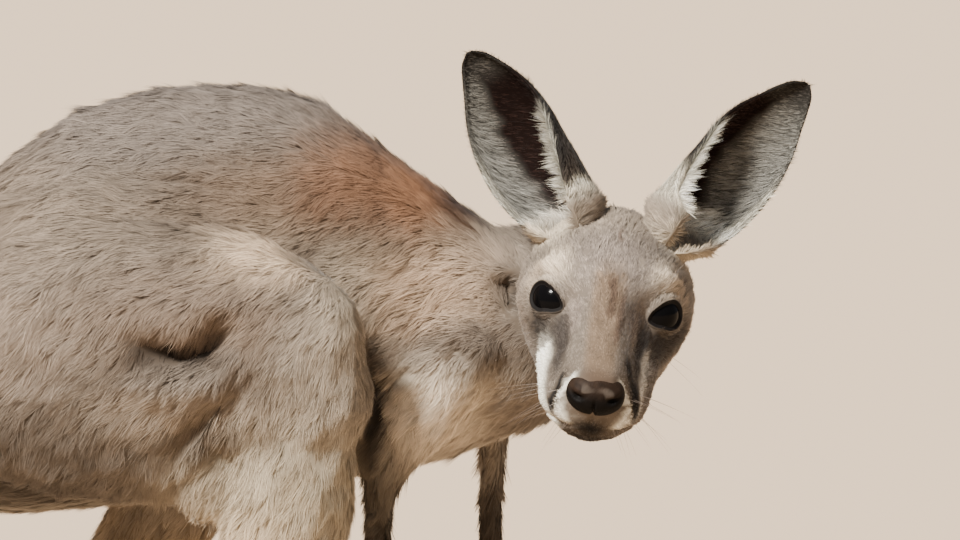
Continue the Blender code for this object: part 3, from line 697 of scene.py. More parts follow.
@dataclass(frozen=True)
class EyePlace:
    """Angles round one eye."""

    side: Side

    def centre(self) -> np.ndarray:
        """The eye's centre in the head's millimetres."""
        return np.array([0.0, self.side * EYE_SIDE, EYE_RISE])

    def polar(self, points: np.ndarray) -> tuple:
        """Distance from the eye's centre, and how many degrees past the opening's rim each place lies.

        Args:
            points: (N, 3) in the head's millimetres.

        Returns:
            Distances, and degrees past the rim, which are below 0 inside the opening.
        """
        gap = points - self.centre()
        distance = np.linalg.norm(gap, axis=1)
        front = gap @ np.array(LOOK_FROM)
        out = gap[:, 1] * self.side
        high = gap @ np.array([-LOOK_FROM[2], 0, LOOK_FROM[0]])
        swing = np.degrees(np.arctan2(out, front))
        rise = np.degrees(np.arcsin(np.clip(high / np.maximum(distance, 1e-6), -1, 1)))
        x, y = swing - OPENING_AT[0], rise - OPENING_AT[1]
        return distance, np.hypot(x, y) - self.rim(np.degrees(np.arctan2(y, x)) % 360)

    @staticmethod
    def rim(turn: np.ndarray) -> np.ndarray:
        """Half width of the opening: its table, closed on itself and rounded off.

        Args:
            turn: degrees round the opening.

        Returns:
            Degrees, as many as were given.
        """
        table = np.array(OPENING, float)
        fine = np.arange(0, 360, 2.0)
        widths = np.interp(fine, table[:, 0], table[:, 1], period=360)
        kernel = np.exp(-(np.arange(-6, 7) / 2.6) ** 2)
        widths = np.convolve(np.tile(widths, 3), kernel / kernel.sum(), "same")[len(fine) : 2 * len(fine)]
        return np.interp(turn, fine, widths, period=360)

    def at(self, turn: np.ndarray, past: np.ndarray, distance: np.ndarray) -> np.ndarray:
        """Places round the opening.

        Args:
            turn: radians round the opening.
            past: degrees past its rim.
            distance: millimetres from the eye's centre.

        Returns:
            Places in the head's millimetres.
        """
        width = self.rim(np.degrees(turn) % 360) + past
        swing = np.radians(OPENING_AT[0] + width * np.cos(turn))
        rise = np.radians(OPENING_AT[1] + width * np.sin(turn))
        front, out, high = np.cos(rise) * np.cos(swing), np.cos(rise) * np.sin(swing), np.sin(rise)
        forward, upward = front * LOOK_FROM[0] - high * LOOK_FROM[2], front * LOOK_FROM[2] + high * LOOK_FROM[0]
        return self.centre() + np.stack([forward, out * self.side, upward], -1) * distance[..., None]


EYES = tuple(EyePlace(side) for side in Side)


@dataclass
class Eyeball:
    """A near-black eye, in the place of the solid one."""

    side: Side
    rows: int = 48
    columns: int = 64
    colour: tuple = (0.002, 0.0018, 0.002)

    def build(self) -> bpy.types.Object:
        """A plain ball round the middle of the solid eye.

        Returns:
            The piece.
        """
        node = f"eye_{self.side.word}"
        centre = np.mean(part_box(node), axis=0)
        ball = ball_grid(self.rows, self.columns)[..., [1, 2, 0]].reshape(-1, 3)
        faces = grid_faces(self.rows, self.columns, wrap=True)[:, ::-1]
        colours = np.tile(self.colour, (len(ball), 1))
        obj = new_mesh(f"{node}_ball", centre + ball * EYE_RADIUS * MM, faces, colours, Finish.EYE)
        return attach(obj, node, slot="eye")


@dataclass
class Lids:
    """A ring of bare dark lid round one eye, from the eyeball out to under the coat."""

    side: Side
    around: int = 160
    along: int = 40
    upper_thickness: float = 0.55
    colour: tuple = (0.004, 0.003, 0.0028)
    profile: tuple = (  # degrees past the rim and distance outside the eyeball
        (-6, -0.5), (-2.5, 0.05), (-1, 0.3), (0, 0.7), (1.5, 1.1), (4, 1.35), (8, 1.2), (13, 0.8), (19, 0.2),
    )

    def build(self) -> bpy.types.Object:
        """Carries the profile round the opening, thicker on the upper lid.

        Returns:
            The piece.
        """
        turn = np.linspace(0, 2 * math.pi, self.around, endpoint=False)[None, :]
        rows = np.array(self.profile, float)
        past = np.interp(np.linspace(0, len(rows) - 1, self.along), np.arange(len(rows)), rows[:, 0])[:, None]
        rise = smooth_line(self.profile, past[:, 0])[:, None]
        upper = np.clip(np.sin(turn - 0.15), 0, 1) ** 0.7
        lift = rise + self.upper_thickness * upper * np.exp(-((past - 2.5) / 4.5) ** 2)
        turn, past = np.broadcast_arrays(turn, past)
        local = EyePlace(self.side).at(turn, past, EYE_RADIUS + lift)
        body = PLACES.body_from_head(local.reshape(-1, 3))
        colours = blend(markings(body) * 0.45, self.colour, smoothstep(4.5, 2.0, past).reshape(-1, 1))
        faces = grid_faces(self.along, self.around, wrap=True)
        faces = faces if self.side == RIGHT else faces[:, ::-1]
        obj = new_mesh(f"lids_{self.side.word}", PLACES.world(body), faces, colours, Finish.LID)
        return attach(obj, slot="nose_skin")


# ---------------------------------------------------------------- nose, claws and whiskers
@dataclass
class NosePad:
    """The bare pad of the nose, with nostrils and the groove down its middle."""

    centre: tuple = (73.5, 0.0, -13.0)
    radii: tuple = (8.8, 13.4, 10.2)
    squareness: float = 0.94
    rows: int = 150
    columns: int = 180
    black: tuple = (0.003, 0.0024, 0.0022)
    brown: tuple = (0.015, 0.009, 0.006)
    # colour of the painted highlights on top of the pad
    pale: tuple = (0.050, 0.039, 0.031)

    def build(self) -> bpy.types.Object:
        """A squarish ball, its pole forward, whose surface is pressed in at the nostrils and along the groove.

        Returns:
            The piece.
        """
        axis = ball_grid(self.rows, self.columns)
        shaped = np.sign(axis) * np.abs(axis) ** self.squareness
        local = np.array(self.centre) + shaped * self.radii
        side, high = np.abs(local[..., 1]), local[..., 2] - self.centre[2]
        curve = 1.2 + 0.09 * (side - 7.0) ** 2 - 0.10 * (side - 7.0)
        slit = np.exp(-(((side - 8.4) / 2.8) ** 2) - ((high - curve + 1.0) / 1.4) ** 2)
        wing = np.exp(-(((side - 9.0) / 3.6) ** 2) - ((high - curve - 2.6) / 1.8) ** 2)
        groove = np.exp(-((local[..., 1] / 0.8) ** 2)) * smoothstep(1.5, -3.0, high)
        press = 2.6 * slit - 0.5 * wing + 1.2 * groove + 1.6 * smoothstep(-1.0, 9.0, high)
        local = local - axis * [1.0, 0.5, 0.5] * (press * smoothstep(-0.1, 0.4, axis[..., 0]))[..., None]
        body = PLACES.body_from_head(local.reshape(-1, 3))
        colours = self.colours(body, side.reshape(-1), high.reshape(-1), slit.reshape(-1, 1))
        faces = grid_faces(self.rows, self.columns, wrap=True)[:, ::-1]
        return attach(new_mesh("nose_pad", PLACES.world(body), faces, colours, Finish.NOSE), "nose", slot="nose_skin")

    def colours(self, body: np.ndarray, side: np.ndarray, high: np.ndarray, slit: np.ndarray) -> np.ndarray:
        """Black below, brown above, with pale blotches on top that are painted highlights of the moist pad, and darker
        in the nostrils as painted shade.

        Args:
            body: (N, 3) in the body's millimetres.
            side: distances from the middle.
            high: heights over the centre.
            slit: share of the nostrils.

        Returns:
            (N, 3) colours.
        """
        grain = Noise(31).at(body, 2.2)[:, None]
        # painted highlights: pale blotches on top of the moist pad
        highlight_spots = smoothstep(0.15, 0.55, Noise(33).at(body, 3.6) + 0.2 * (1 - ((high - 2.0) / 4) ** 2))
        pale = highlight_spots * np.exp(-(((high - 4.0) / 2.4) ** 2) - ((side - 5.5) / 4.0) ** 2)
        colours = blend(self.black, self.brown, smoothstep(-1.0, 5.0, high)[:, None])
        # the nostrils are darkened as painted shade
        return blend(colours, self.pale, pale[:, None]) * (1 + 0.35 * grain) * (1 - 0.8 * slit)


@dataclass
class Claws:
    """Smooth horny claws in the place of the faceted ones."""

    sections: int = 22
    around: int = 28
    slices: int = 5

    def build(self) -> bpy.types.Object:
        """One mesh of every claw.

        Returns:
            The piece.
        """
        names = [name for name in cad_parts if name.startswith("claw")]
        grids = [self.claw(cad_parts[name].data) for name in names]
        step = self.sections * self.around
        faces = [grid_faces(self.sections, self.around, wrap=True) + step * k for k in range(len(names))]
        obj = new_mesh("claws", np.vstack(grids) * MM, np.vstack(faces), None, Finish.CLAW)
        return attach(obj, *names, slot="claw")

    def claw(self, mesh: bpy.types.Mesh) -> np.ndarray:
        """Ovals carried along the claw's middle line, sized from the solid's own slices, with a blunt root.

        Args:
            mesh: the solid claw.

        Returns:
            (sections x around, 3) points in the world's millimetres.
        """
        flat = np.empty(len(mesh.vertices) * 3, np.float32)
        mesh.vertices.foreach_get("co", flat)
        corners = flat.reshape(-1, 3).astype(float) / MM
        pairs = np.empty(len(mesh.edges) * 2, np.int32)
        mesh.edges.foreach_get("vertices", pairs)
        ends = corners[pairs.reshape(-1, 2)]
        cloud = blend(ends[:, 0], ends[:, 1], np.linspace(0, 1, 12)[:, None, None]).reshape(-1, 3)
        middle = cloud.mean(0)
        along = np.linalg.svd(cloud - middle, full_matrices=False)[2][0]
        along = along * (1 if along[0] - along[2] * 0.5 > 0 else -1)
        side = unit(np.cross([0, 0, 1.0], along))
        high = np.cross(along, side)
        run = (cloud - middle) @ along
        spans = []
        for stop in np.linspace(run.min(), run.max(), self.slices):
            near = cloud[np.abs(run - stop) < (run.max() - run.min()) * 0.2] - middle
            s, h = near @ side, near @ high
            spans.append((s.mean(), (h.max() + h.min()) / 2, max(np.ptp(s) / 2, 0.25), max(np.ptp(h) / 2, 0.3)))
        at = np.linspace(0, 1, self.sections)
        stops = np.linspace(0, 1, self.slices)
        out, rise, wide, thick = (np.interp(at, stops, column) for column in np.transpose(spans))
        taper = np.sqrt(np.clip(1 - ((at - 0.35) / 0.65).clip(0) ** 2.2, 0.0, 1)) * np.sqrt(np.clip(at / 0.08, 0.05, 1))
        line = middle + np.outer(run.min() + at * np.ptp(run), along) + np.outer(out, side) + np.outer(rise, high)
        return ring(line, np.outer(wide * taper, side), np.outer(thick * taper, high), self.around).reshape(-1, 3)


@dataclass
class Whiskers:
    """Fine stiff hairs on the lips, brows and chin."""

    seed: int = 77
    radius: float = 0.08
    sections: int = 9
    around: int = 5
    # ends of each row of roots on the head, how many there are, their length and the way they point
    rows: tuple = (
        ((70, 13, -16), (52, 21, -22), 5, 26, (0.15, 1.0, -0.25)),
        ((72, 13, -21), (56, 20, -28), 5, 22, (0.25, 0.9, -0.6)),
        ((74, 9, -27), (62, 16, -33), 4, 16, (0.4, 0.6, -0.9)),
        ((4, 24, 12), (-4, 27, 12), 3, 18, (0.2, 0.6, 0.8)),
        ((12, 34, -20), (6, 36, -22), 2, 24, (0.0, 1.0, -0.5)),
    )

    def build(self, skin: "Skin") -> bpy.types.Object:
        """One tapered bent tube for each root, joined in one mesh.

        Args:
            skin: the skin that they stand on.

        Returns:
            The piece.
        """
        rng = np.random.default_rng(self.seed)
        tree = skin.tree()
        tubes = []
        for side in Side:
            mirror = [1, side, 1]
            for start, end, count, length, way in self.rows:
                for share in np.linspace(0, 1, count):
                    spot = (blend(start, end, share) + rng.normal(0, 0.5, 3)) * mirror
                    root = np.array(tree.find_nearest(Vector(PLACES.body_from_head(spot)))[0])
                    lean = unit(np.array(way) * mirror + rng.normal(0, 0.13, 3))
                    tubes.append(self.tube(PLACES.head(root), lean, length * rng.uniform(0.7, 1.15)))
        points = PLACES.world(PLACES.body_from_head(np.vstack(tubes)))
        step = self.sections * self.around
        faces = [grid_faces(self.sections, self.around, wrap=True) + step * k for k in range(len(tubes))]
        return attach(new_mesh("whiskers", points, np.vstack(faces), None, Finish.WHISKER), slot="coat")

    def tube(self, root: np.ndarray, lean: np.ndarray, size: float) -> np.ndarray:
        """Points of one whisker, which leaves along lean and falls back as the square of the way along it.

        Args:
            root: its root in the head's millimetres.
            lean: (3,) unit vector.
            size: its length.

        Returns:
            (sections x around, 3) points in the head's millimetres.
        """
        t = np.linspace(0, 1, self.sections)[:, None]
        line = root + lean * size * t + np.array([-0.35, 0, -0.25]) * size * t**2
        radius = self.radius * (1 - 0.85 * t)
        across = unit(np.cross(lean, [0.3, 0.1, 1.0]))
        return ring(line, radius * across, radius * np.cross(lean, across), self.around).reshape(-1, 3)


# ---------------------------------------------------------------- the lie of the coat
# Rows of a place and the direction in which the hair points there. Y is counted outwards, except on tail and neck.
BODY_COMB = (
    (-125, 0, 325, -1, 0, -0.7), (-60, 0, 378, -1, 0, -0.15), (10, 0, 390, -1, 0, 0.05), (80, 0, 372, -1, 0, 0.3),
    (130, 5, 340, -1, 0, 0.45), (-90, 60, 330, -1, 0, -0.5), (-20, 62, 345, -1, 0, -0.25),
    (50, 58, 340, -1, 0.1, -0.15), (95, 50, 320, -1, 0.1, -0.3), (130, 45, 300, -0.9, 0.1, -0.5),
    (90, 50, 275, -0.9, 0.1, -0.6), (115, 48, 255, -0.7, 0, -0.8), (100, 45, 220, -0.5, 0, -0.9),
    (140, 42, 235, -0.8, 0, -0.6), (120, 0, 205, -1, 0, -0.1), (40, 0, 190, -1, 0, 0), (-60, 0, 180, -1, 0, 0.1),
    (-120, 0, 195, -1, 0, -0.3), (60, 112, 300, -0.5, 0, -1), (76, 112, 265, -0.3, 0, -1),
    (70, 112, 220, -0.35, 0, -1), (20, 116, 315, -0.9, 0, -0.75), (25, 118, 270, -0.6, 0, -1),
    (20, 116, 225, -0.5, 0, -0.9), (-35, 112, 310, -0.85, 0, -0.65), (-40, 114, 265, -0.75, 0, -0.8),
    (-40, 108, 215, -0.35, 0, -1), (-100, 88, 270, -0.7, 0, -0.9), (-100, 80, 220, -0.4, 0, -1),
    (-140, 40, 255, -0.9, 0, -0.6),
)
LEG_COMB = (
    (62, 100, 190, -0.3, 0, -1), (25, 100, 185, -0.35, 0, -1), (45, 98, 155, -0.45, 0, -1),
    (0, 94, 115, -0.6, 0, -1), (-35, 90, 80, -0.6, 0, -0.9), (-62, 88, 50, -0.4, 0, -1), (-85, 80, 20, -0.2, 0, -1),
    (-50, 80, 28, 0.8, 0, -0.5), (0, 82, 18, 1, 0, -0.2), (60, 83, 15, 1, 0, -0.1), (125, 85, 10, 1, 0, -0.2),
)
ARM_COMB = (
    (90, 50, 205, -0.1, 0, -1), (85, 45, 160, 0, 0, -1), (84, 40, 100, 0, 0, -1), (86, 38, 50, 0.1, 0, -1),
    (100, 36, 15, 1, 0, -0.5), (125, 38, 8, 1, 0, -0.3),
)
TAIL_COMB = (
    (-160, 0, 242, -0.8, 0, -0.6), (-200, 0, 205, -0.65, 0, -0.75), (-240, 0, 155, -0.6, 0, -0.8),
    (-285, 0, 95, -0.65, 0, -0.75), (-340, 0, 45, -0.85, 0, -0.5), (-400, 15, 20, -1, 0.1, -0.15),
    (-500, 25, 12, -1, 0, -0.03), (-600, 17, 8, -1, -0.15, -0.03), (-690, -5, 5, -1, -0.3, -0.03),
)
NECK_COMB = (
    (150, -35, 285, -0.85, 0.35, -0.4), (165, -48, 262, -0.8, 0.4, -0.5), (190, -30, 335, -0.7, 0.7, 0.1),
    (225, -30, 300, -0.4, 1, -0.2), (195, -30, 250, -0.6, 0.7, -0.3), (205, 20, 300, -0.9, 0.5, -0.2),
    (170, 40, 290, -1, 0.2, -0.3), (160, 10, 225, -0.9, 0.3, -0.2),
)
HEAD_COMB = (
    (76, 0, -2, -1, 0, 0.6), (50, 0, 4, -1, 0, 0.2), (20, 0, 14, -1, 0, 0.4), (-15, 0, 26, -1, 0, 0.15),
    (-50, 0, 24, -1, 0, -0.2), (66, 17, -18, -1, 0.35, -0.1), (40, 24, -18, -1, 0.15, -0.1),
    (15, 22, 2, -1, 0.4, 0.2), (10, 32, -22, -1, 0.2, -0.25), (-8, 30, 14, -1, 0.3, 0.3),
    (-30, 38, 5, -1, 0.2, 0.1), (-25, 40, -28, -1, 0, -0.3), (-55, 32, -30, -1, -0.1, -0.3),
    (40, 18, -40, -1, 0.1, -0.3), (0, 15, -52, -1, 0, -0.1), (76, 0, -34, -0.6, 0, -1),
)


def strokes() -> tuple:
    """Every stroke of the comb, in the body's frame.

    Returns:
        (S, 3) places and (S, 3) directions.
    """
    rows = []
    for side in Side:
        mirror = np.array([1, side, 1, 1, side, 1], float)
        for table, step in ((BODY_COMB, 0.0), (LEG_COMB, LEG_STEP[side]), (ARM_COMB, ARM_STEP[side])):
            rows.append(np.array(table, float) * mirror + [step, 0, 0, 0, 0, 0])
        local = np.array(HEAD_COMB, float) * mirror
        rows.append(np.hstack([PLACES.body_from_head(local[:, :3]), local[:, 3:] @ HEAD_TURN.T]))
    table = np.vstack([*rows, TAIL_COMB, NECK_COMB])
    return table[:, :3], unit(table[:, 3:])


def combed(points: np.ndarray, normals: np.ndarray, reach: float = 16.0) -> np.ndarray:
    """Directions of the hair, along the skin.

    Each place takes the mean of the strokes, weighted by the inverse fourth power of their distance.

    Args:
        points: (N, 3) in the body's millimetres.
        normals: (N, 3) unit normals.
        reach: distance under which a stroke's weight stops growing.

    Returns:
        (N, 3) unit vectors.
    """
    total = np.zeros_like(points)
    for place, way in zip(*strokes()):
        gap = ((points - place) ** 2).sum(axis=1) + reach**2
        total += way / (gap**2)[:, None]
    return along_skin(unit(total), normals)


def along_skin(ways: np.ndarray, normals: np.ndarray) -> np.ndarray:
    """Unit vectors of directions, laid along the skin."""
    return unit(ways - (ways * normals).sum(axis=1, keepdims=True) * normals)


# ---------------------------------------------------------------- markings
@dataclass(frozen=True)
class Patch:
    """A soft-edged mark: where, how far it reaches each way, its colour and how much of it covers."""

    at: tuple
    radii: tuple
    colour: tuple
    cover: float = 1.0

    def lay(self, colours: np.ndarray, places: np.ndarray, side: int = LEFT, step: float = 0.0) -> np.ndarray:
        """Lays the mark over colours, thinning out as a bell.

        Args:
            colours: (N, 3) colours under it.
            places: (N, 3) places in the frame of the mark.
            side: the side it is laid on.
            step: how far forward of its table it goes.

        Returns:
            (N, 3) colours.
        """
        centre = np.array(self.at, float) * [1, side, 1] + [step, 0, 0]
        gap = (((places - centre) / self.radii) ** 2).sum(axis=1)
        return blend(colours, self.colour, (self.cover * np.exp(-(gap**1.6)))[:, None])


def along_path(points: np.ndarray, path: np.ndarray, reach: float) -> tuple:
    """Which places lie near a path, how far from it, and how its ends fade.

    Args:
        points: (N, 3) places.
        path: (K, 3) corners of the path.
        reach: distance that still counts as near.

    Returns:
        (N,) mask, and for the places near it their distance and their share of the path up to its nearer end.
    """
    near = np.all(points > path.min(0) - reach, axis=1) & np.all(points < path.max(0) + reach, axis=1)
    spots = points[near]
    best = np.full(len(spots), 1e9)
    share = np.zeros(len(spots))
    runs = np.linalg.norm(np.diff(path, axis=0), axis=1)
    ends = np.concatenate([[0], np.cumsum(runs)])
    for k, (start, end) in enumerate(zip(path, path[1:])):
        t = np.clip((spots - start) @ (end - start) / runs[k] ** 2, 0, 1)
        gap = np.linalg.norm(spots - start - t[:, None] * (end - start), axis=1)
        share = np.where(gap < best, (ends[k] + t * runs[k]) / ends[-1], share)
        best = np.minimum(best, gap)
    return near, best, np.minimum(share, 1 - share)


@dataclass(frozen=True)
class Streak:
    """A soft-edged line of colour along a path on the head."""

    path: tuple
    width: float
    colour: tuple
    cover: float = 1.0
    sides: tuple = (LEFT, RIGHT)

    def lay(self, colours: np.ndarray, local: np.ndarray) -> None:
        """Draws the line over colours, on each of its sides.

        Args:
            colours: (N, 3) colours, changed in place.
            local: (N, 3) in the head's millimetres.
        """
        for side in self.sides:
            path = np.array(self.path, float) * [1, side, 1]
            near, gap, inwards = along_path(local, path, 2 * self.width)
            fade = smoothstep(0.0, 0.1, inwards + 0.03)
            share = (self.cover * fade * np.exp(-((gap / self.width) ** 4)))[:, None]
            colours[near] = blend(colours[near], self.colour, share)


GREY = (0.135, 0.106, 0.082)
HEAD_GREY = (0.172, 0.140, 0.112)
WHITE = (0.90, 0.85, 0.72)
DARK = (0.012, 0.010, 0.009)
BODY_MARKS = (
    Patch((-30, 0, 388), (190, 75, 42), (0.148, 0.120, 0.100), 0.9),
    Patch((-115, 40, 335), (55, 80, 50), (0.175, 0.132, 0.098), 0.8),
    Patch((-60, 72, 330), (60, 40, 26), (0.195, 0.150, 0.112), 0.7),
    Patch((45, 55, 340), (55, 40, 22), (0.140, 0.092, 0.060), 0.8),
    Patch((84, 34, 345), (34, 45, 26), (0.148, 0.072, 0.038), 0.85),
    Patch((112, 28, 335), (22, 40, 20), (0.165, 0.076, 0.037), 0.9),
    Patch((129, 10, 328), (12, 40, 12), (0.030, 0.013, 0.007), 0.9),
    Patch((82, 50, 300), (28, 36, 32), (0.125, 0.090, 0.062), 0.8),
    Patch((116, 40, 296), (34, 34, 24), (0.36, 0.250, 0.165), 0.9),
    Patch((127, 42, 268), (26, 30, 12), (0.085, 0.064, 0.050), 0.85),
    Patch((112, 42, 238), (42, 36, 24), (0.70, 0.58, 0.44), 0.95),
    Patch((156, 30, 240), (18, 30, 16), (0.20, 0.16, 0.125), 0.8),
    Patch((120, 0, 205), (60, 36, 18), (0.55, 0.46, 0.36), 0.9),
    Patch((-20, 0, 180), (120, 60, 26), (0.50, 0.42, 0.33), 0.95),
    Patch((0, 112, 296), (60, 40, 24), (0.175, 0.125, 0.090), 0.75),
    Patch((48, 96, 323), (34, 40, 15), (0.62, 0.46, 0.31), 0.95),
    Patch((76, 90, 296), (17, 50, 28), (0.46, 0.37, 0.27), 0.9),
    Patch((64, 95, 250), (26, 60, 48), (0.310, 0.255, 0.195), 0.85),
    Patch((-95, 95, 285), (50, 50, 38), (0.215, 0.165, 0.125), 0.8),
    Patch((-5, 112, 248), (46, 40, 13), (0.27, 0.210, 0.155), 0.75),
    Patch((-78, 95, 232), (55, 50, 22), (0.105, 0.084, 0.066), 0.85),
    Patch((-90, 60, 200), (85, 60, 17), (0.060, 0.047, 0.036), 0.9),
    Patch((44, 90, 203), (54, 70, 38), (0.37, 0.305, 0.215), 0.95),
    # painted shade: near-black fur in the deep gap between knee and chest
    Patch((84, 44, 240), (7, 16, 26), (0.018, 0.012, 0.009), 0.95),
    # painted shade: near black in the deep pocket between the back of the cheek and the neck
    Patch((152, 34, 292), (8, 13, 12), (0.008, 0.005, 0.004), 1.0),
    # painted shade: near black along the bottom of the deep groove across the thigh
    Patch((-3, 104, 275), (20, 16, 6.5), (0.008, 0.006, 0.005), 1.0),
    # painted shade: darker fur beside the lower groove of the thigh
    Patch((8, 100, 238), (17, 16, 12), (0.085, 0.062, 0.045), 0.75),
)
LEG_MARKS = (
    Patch((20, 85, 140), (50, 60, 55), (0.60, 0.44, 0.28), 0.95),
    Patch((-60, 80, 50), (50, 50, 45), (0.34, 0.25, 0.165), 0.95),
    Patch((20, 82, 12), (80, 40, 22), (0.26, 0.20, 0.145), 0.95),
    Patch((120, 85, 8), (36, 40, 22), (0.045, 0.033, 0.026), 0.95),
    # painted shade: darker inner side of each shank, which lies in shade
    Patch((0, 58, 180), (70, 20, 50), (0.055, 0.040, 0.029), 0.9),
)
ARM_MARKS = (
    # painted shade: the forearms are made near black, as they lie in shade under chest and thigh
    Patch((85, 40, 140), (34, 30, 75), (0.030, 0.022, 0.015), 0.95),
    Patch((105, 36, 12), (45, 40, 30), (0.040, 0.030, 0.023), 0.95),
)
TAIL_MARKS = (
    Patch((-230, 0, 165), (90, 60, 90), (0.165, 0.125, 0.093), 0.85),
    Patch((-420, 15, 10), (120, 60, 50), (0.21, 0.16, 0.118), 0.9),
    Patch((-640, 10, 5), (110, 60, 50), (0.30, 0.24, 0.18), 0.9),
)
HEAD_MARKS = (
    Patch((0, 0, -5), (84, 60, 60), HEAD_GREY, 1.0),
    Patch((6, 0, 20), (30, 20, 13), (0.215, 0.172, 0.143), 0.9),
    Patch((-34, 10, 28), (18, 14, 9), (0.26, 0.205, 0.155), 0.8),
    Patch((-38, 31, 17), (17, 13, 13), (0.58, 0.48, 0.35), 0.9),
    Patch((-2, 27, 13), (13, 9, 7), (0.54, 0.435, 0.32), 0.9),
    Patch((-6, 36, 4), (9, 6, 9), (0.42, 0.32, 0.225), 0.7),
    Patch((26, 16, 2), (14, 6, 8), (0.21, 0.165, 0.138), 0.8),
    Patch((76, 0, -2), (6, 9, 6), (0.070, 0.043, 0.029), 0.85),
    # grey under each eye, deepened to near black as painted shade of the hollow below it
    Patch((10, 29, -14), (17, 9, 8), (0.016, 0.013, 0.011), 0.95),
    Patch((26, 21, -9), (15, 6, 6.5), (0.034, 0.028, 0.024), 0.9),
    Patch((46, 18, -12), (16, 6, 7), (0.050, 0.042, 0.036), 0.9),
    Patch((71, 14.5, -27), (5.0, 5.0, 5.0), (0.66, 0.61, 0.52), 1.0),
    Patch((30, 0, -50), (38, 20, 10), (0.40, 0.31, 0.22), 0.85),
    # dark chin, deepened to near black as painted shade under the jaw
    Patch((68, 0, -41), (14, 18, 8), (0.012, 0.010, 0.009), 1.0),
    Patch((76, 0, -31), (6, 9.0, 6.0), DARK, 1.0),
    Patch((-14, 38, -22), (22, 10, 16), (0.23, 0.172, 0.127), 0.6),
)
# Streaks kept to the left side are painted shade: that side of the head is turned from the sun.
HEAD_STREAKS = (
    Streak(((8, 0, 17), (30, 0, 9.5), (52, 0, 5), (74, 0, 1)), 7.2, (0.175, 0.122, 0.082), 0.95),
    # painted shade: the three dark lines below darken the left edge of the nose bridge and of the forehead's middle
    # line
    Streak(((18, 7.5, 11), (36, 7, 7), (54, 6.5, 4)), 2.2, (0.090, 0.055, 0.038), 0.7, (LEFT,)),
    Streak(((11, 0.5, 15), (22, 2.5, 12), (36, 2.0, 8.5)), 2.4, (0.060, 0.035, 0.024), 0.75, (LEFT,)),
    Streak(((-32, 2.5, 28), (-8, 2.2, 24)), 1.3, (0.055, 0.030, 0.020), 0.85, (LEFT,)),
    Streak(((16, 19, -4), (34, 17, -8), (50, 16.5, -11)), 5.0, (0.042, 0.034, 0.029), 0.85),
    # the white cheek stripe, drawn white on the right side only
    Streak(
        ((21, 26, -20), (28, 24.5, -22), (38, 23.5, -27), (48, 22.3, -32), (64, 19.5, -40)),
        7.2, WHITE, 1.0, (RIGHT,),
    ),
    # painted shade: the left cheek's stripe, drawn grey as the white stripe in shade
    Streak(((26, 24, -13), (40, 21, -15), (54, 20, -20), (62, 19.5, -29)), 4.6, (0.50, 0.46, 0.40), 0.95, (LEFT,)),
    # painted shade: dark over the left cheek below the eye, the side turned from the sun
    Streak(((20, 28, -16), (6, 33, -17), (-8, 36, -15)), 9.0, (0.036, 0.029, 0.025), 0.9, (LEFT,)),
    # black streak beside the muzzle; on the left it is longer and wider than on the right as painted shade
    Streak(
        ((54, 12, -3), (62, 14.5, -7), (67.5, 18.2, -15), (66, 19.5, -23), (60, 20.5, -31)),
        3.0, DARK, 1.0, (LEFT,),
    ),
    Streak(((64, 15.5, -9), (68, 17.8, -17), (67, 19.2, -25), (62, 20, -31)), 2.8, DARK, 1.0, (RIGHT,)),
    Streak(((73, 9.5, -5), (72.5, 13, -10), (71.5, 16, -17), (71.5, 15.5, -23), (73, 10, -29)), 1.4, WHITE, 1.0),
    # painted shade: more black on the left side of the muzzle
    Streak(((60, 17.5, -11), (67, 19.2, -19), (65, 20, -27)), 3.4, DARK, 0.95, (LEFT,)),
    Streak(((76, 6, -31), (72, 12, -33.5), (64, 17, -35.5)), 1.6, DARK, 0.9),
)


def markings(points: np.ndarray) -> np.ndarray:
    """Colour of the coat: the marks laid over grey one after the other, painted shade in folds, gaps, limbs and on the
    head's left side among them.

    Args:
        points: (N, 3) in the body's millimetres.

    Returns:
        (N, 3) colours.
    """
    local = PLACES.head(points)
    colours = np.tile(GREY, (len(points), 1))
    for side in Side:
        for marks, step in ((BODY_MARKS, 0.0), (LEG_MARKS, LEG_STEP[side]), (ARM_MARKS, ARM_STEP[side])):
            for mark in marks:
                colours = mark.lay(colours, points, side, step)
    for mark in TAIL_MARKS:
        colours = mark.lay(colours, points)
    for mark in HEAD_MARKS:
        for side in Side if mark.at[1] else (LEFT,):
            colours = mark.lay(colours, local, side)
    for streak in HEAD_STREAKS:
        streak.lay(colours, local)
    return colours


# ---------------------------------------------------------------- depth and length of the coat
@dataclass(frozen=True)
class Spread:
    """A measure of the coat in millimetres: by height on the body, by X on the tail and by its way along the face."""

    height: tuple
    tail: tuple
    face: tuple
    face_end: tuple  # distances from the skull's middle over which the face gives way to the body

    def at(self, points: np.ndarray) -> np.ndarray:
        """Reads the measure.

        Args:
            points: (N, 3) in the body's millimetres.

        Returns:
            (N,) millimetres.
        """
        on_tail, on_body = steady_line(self.tail, points[:, 0]), steady_line(self.height, points[:, 2])
        forward = PLACES.head(points)[:, 0]
        gap = PLACES.skull_gap(points) * np.where(forward > 0, FACE_NARROWING, 1.0)
        body = np.where(points[:, 0] < TAIL_FROM, on_tail, on_body)
        return blend(steady_line(self.face, forward), body, smoothstep(*self.face_end, gap))


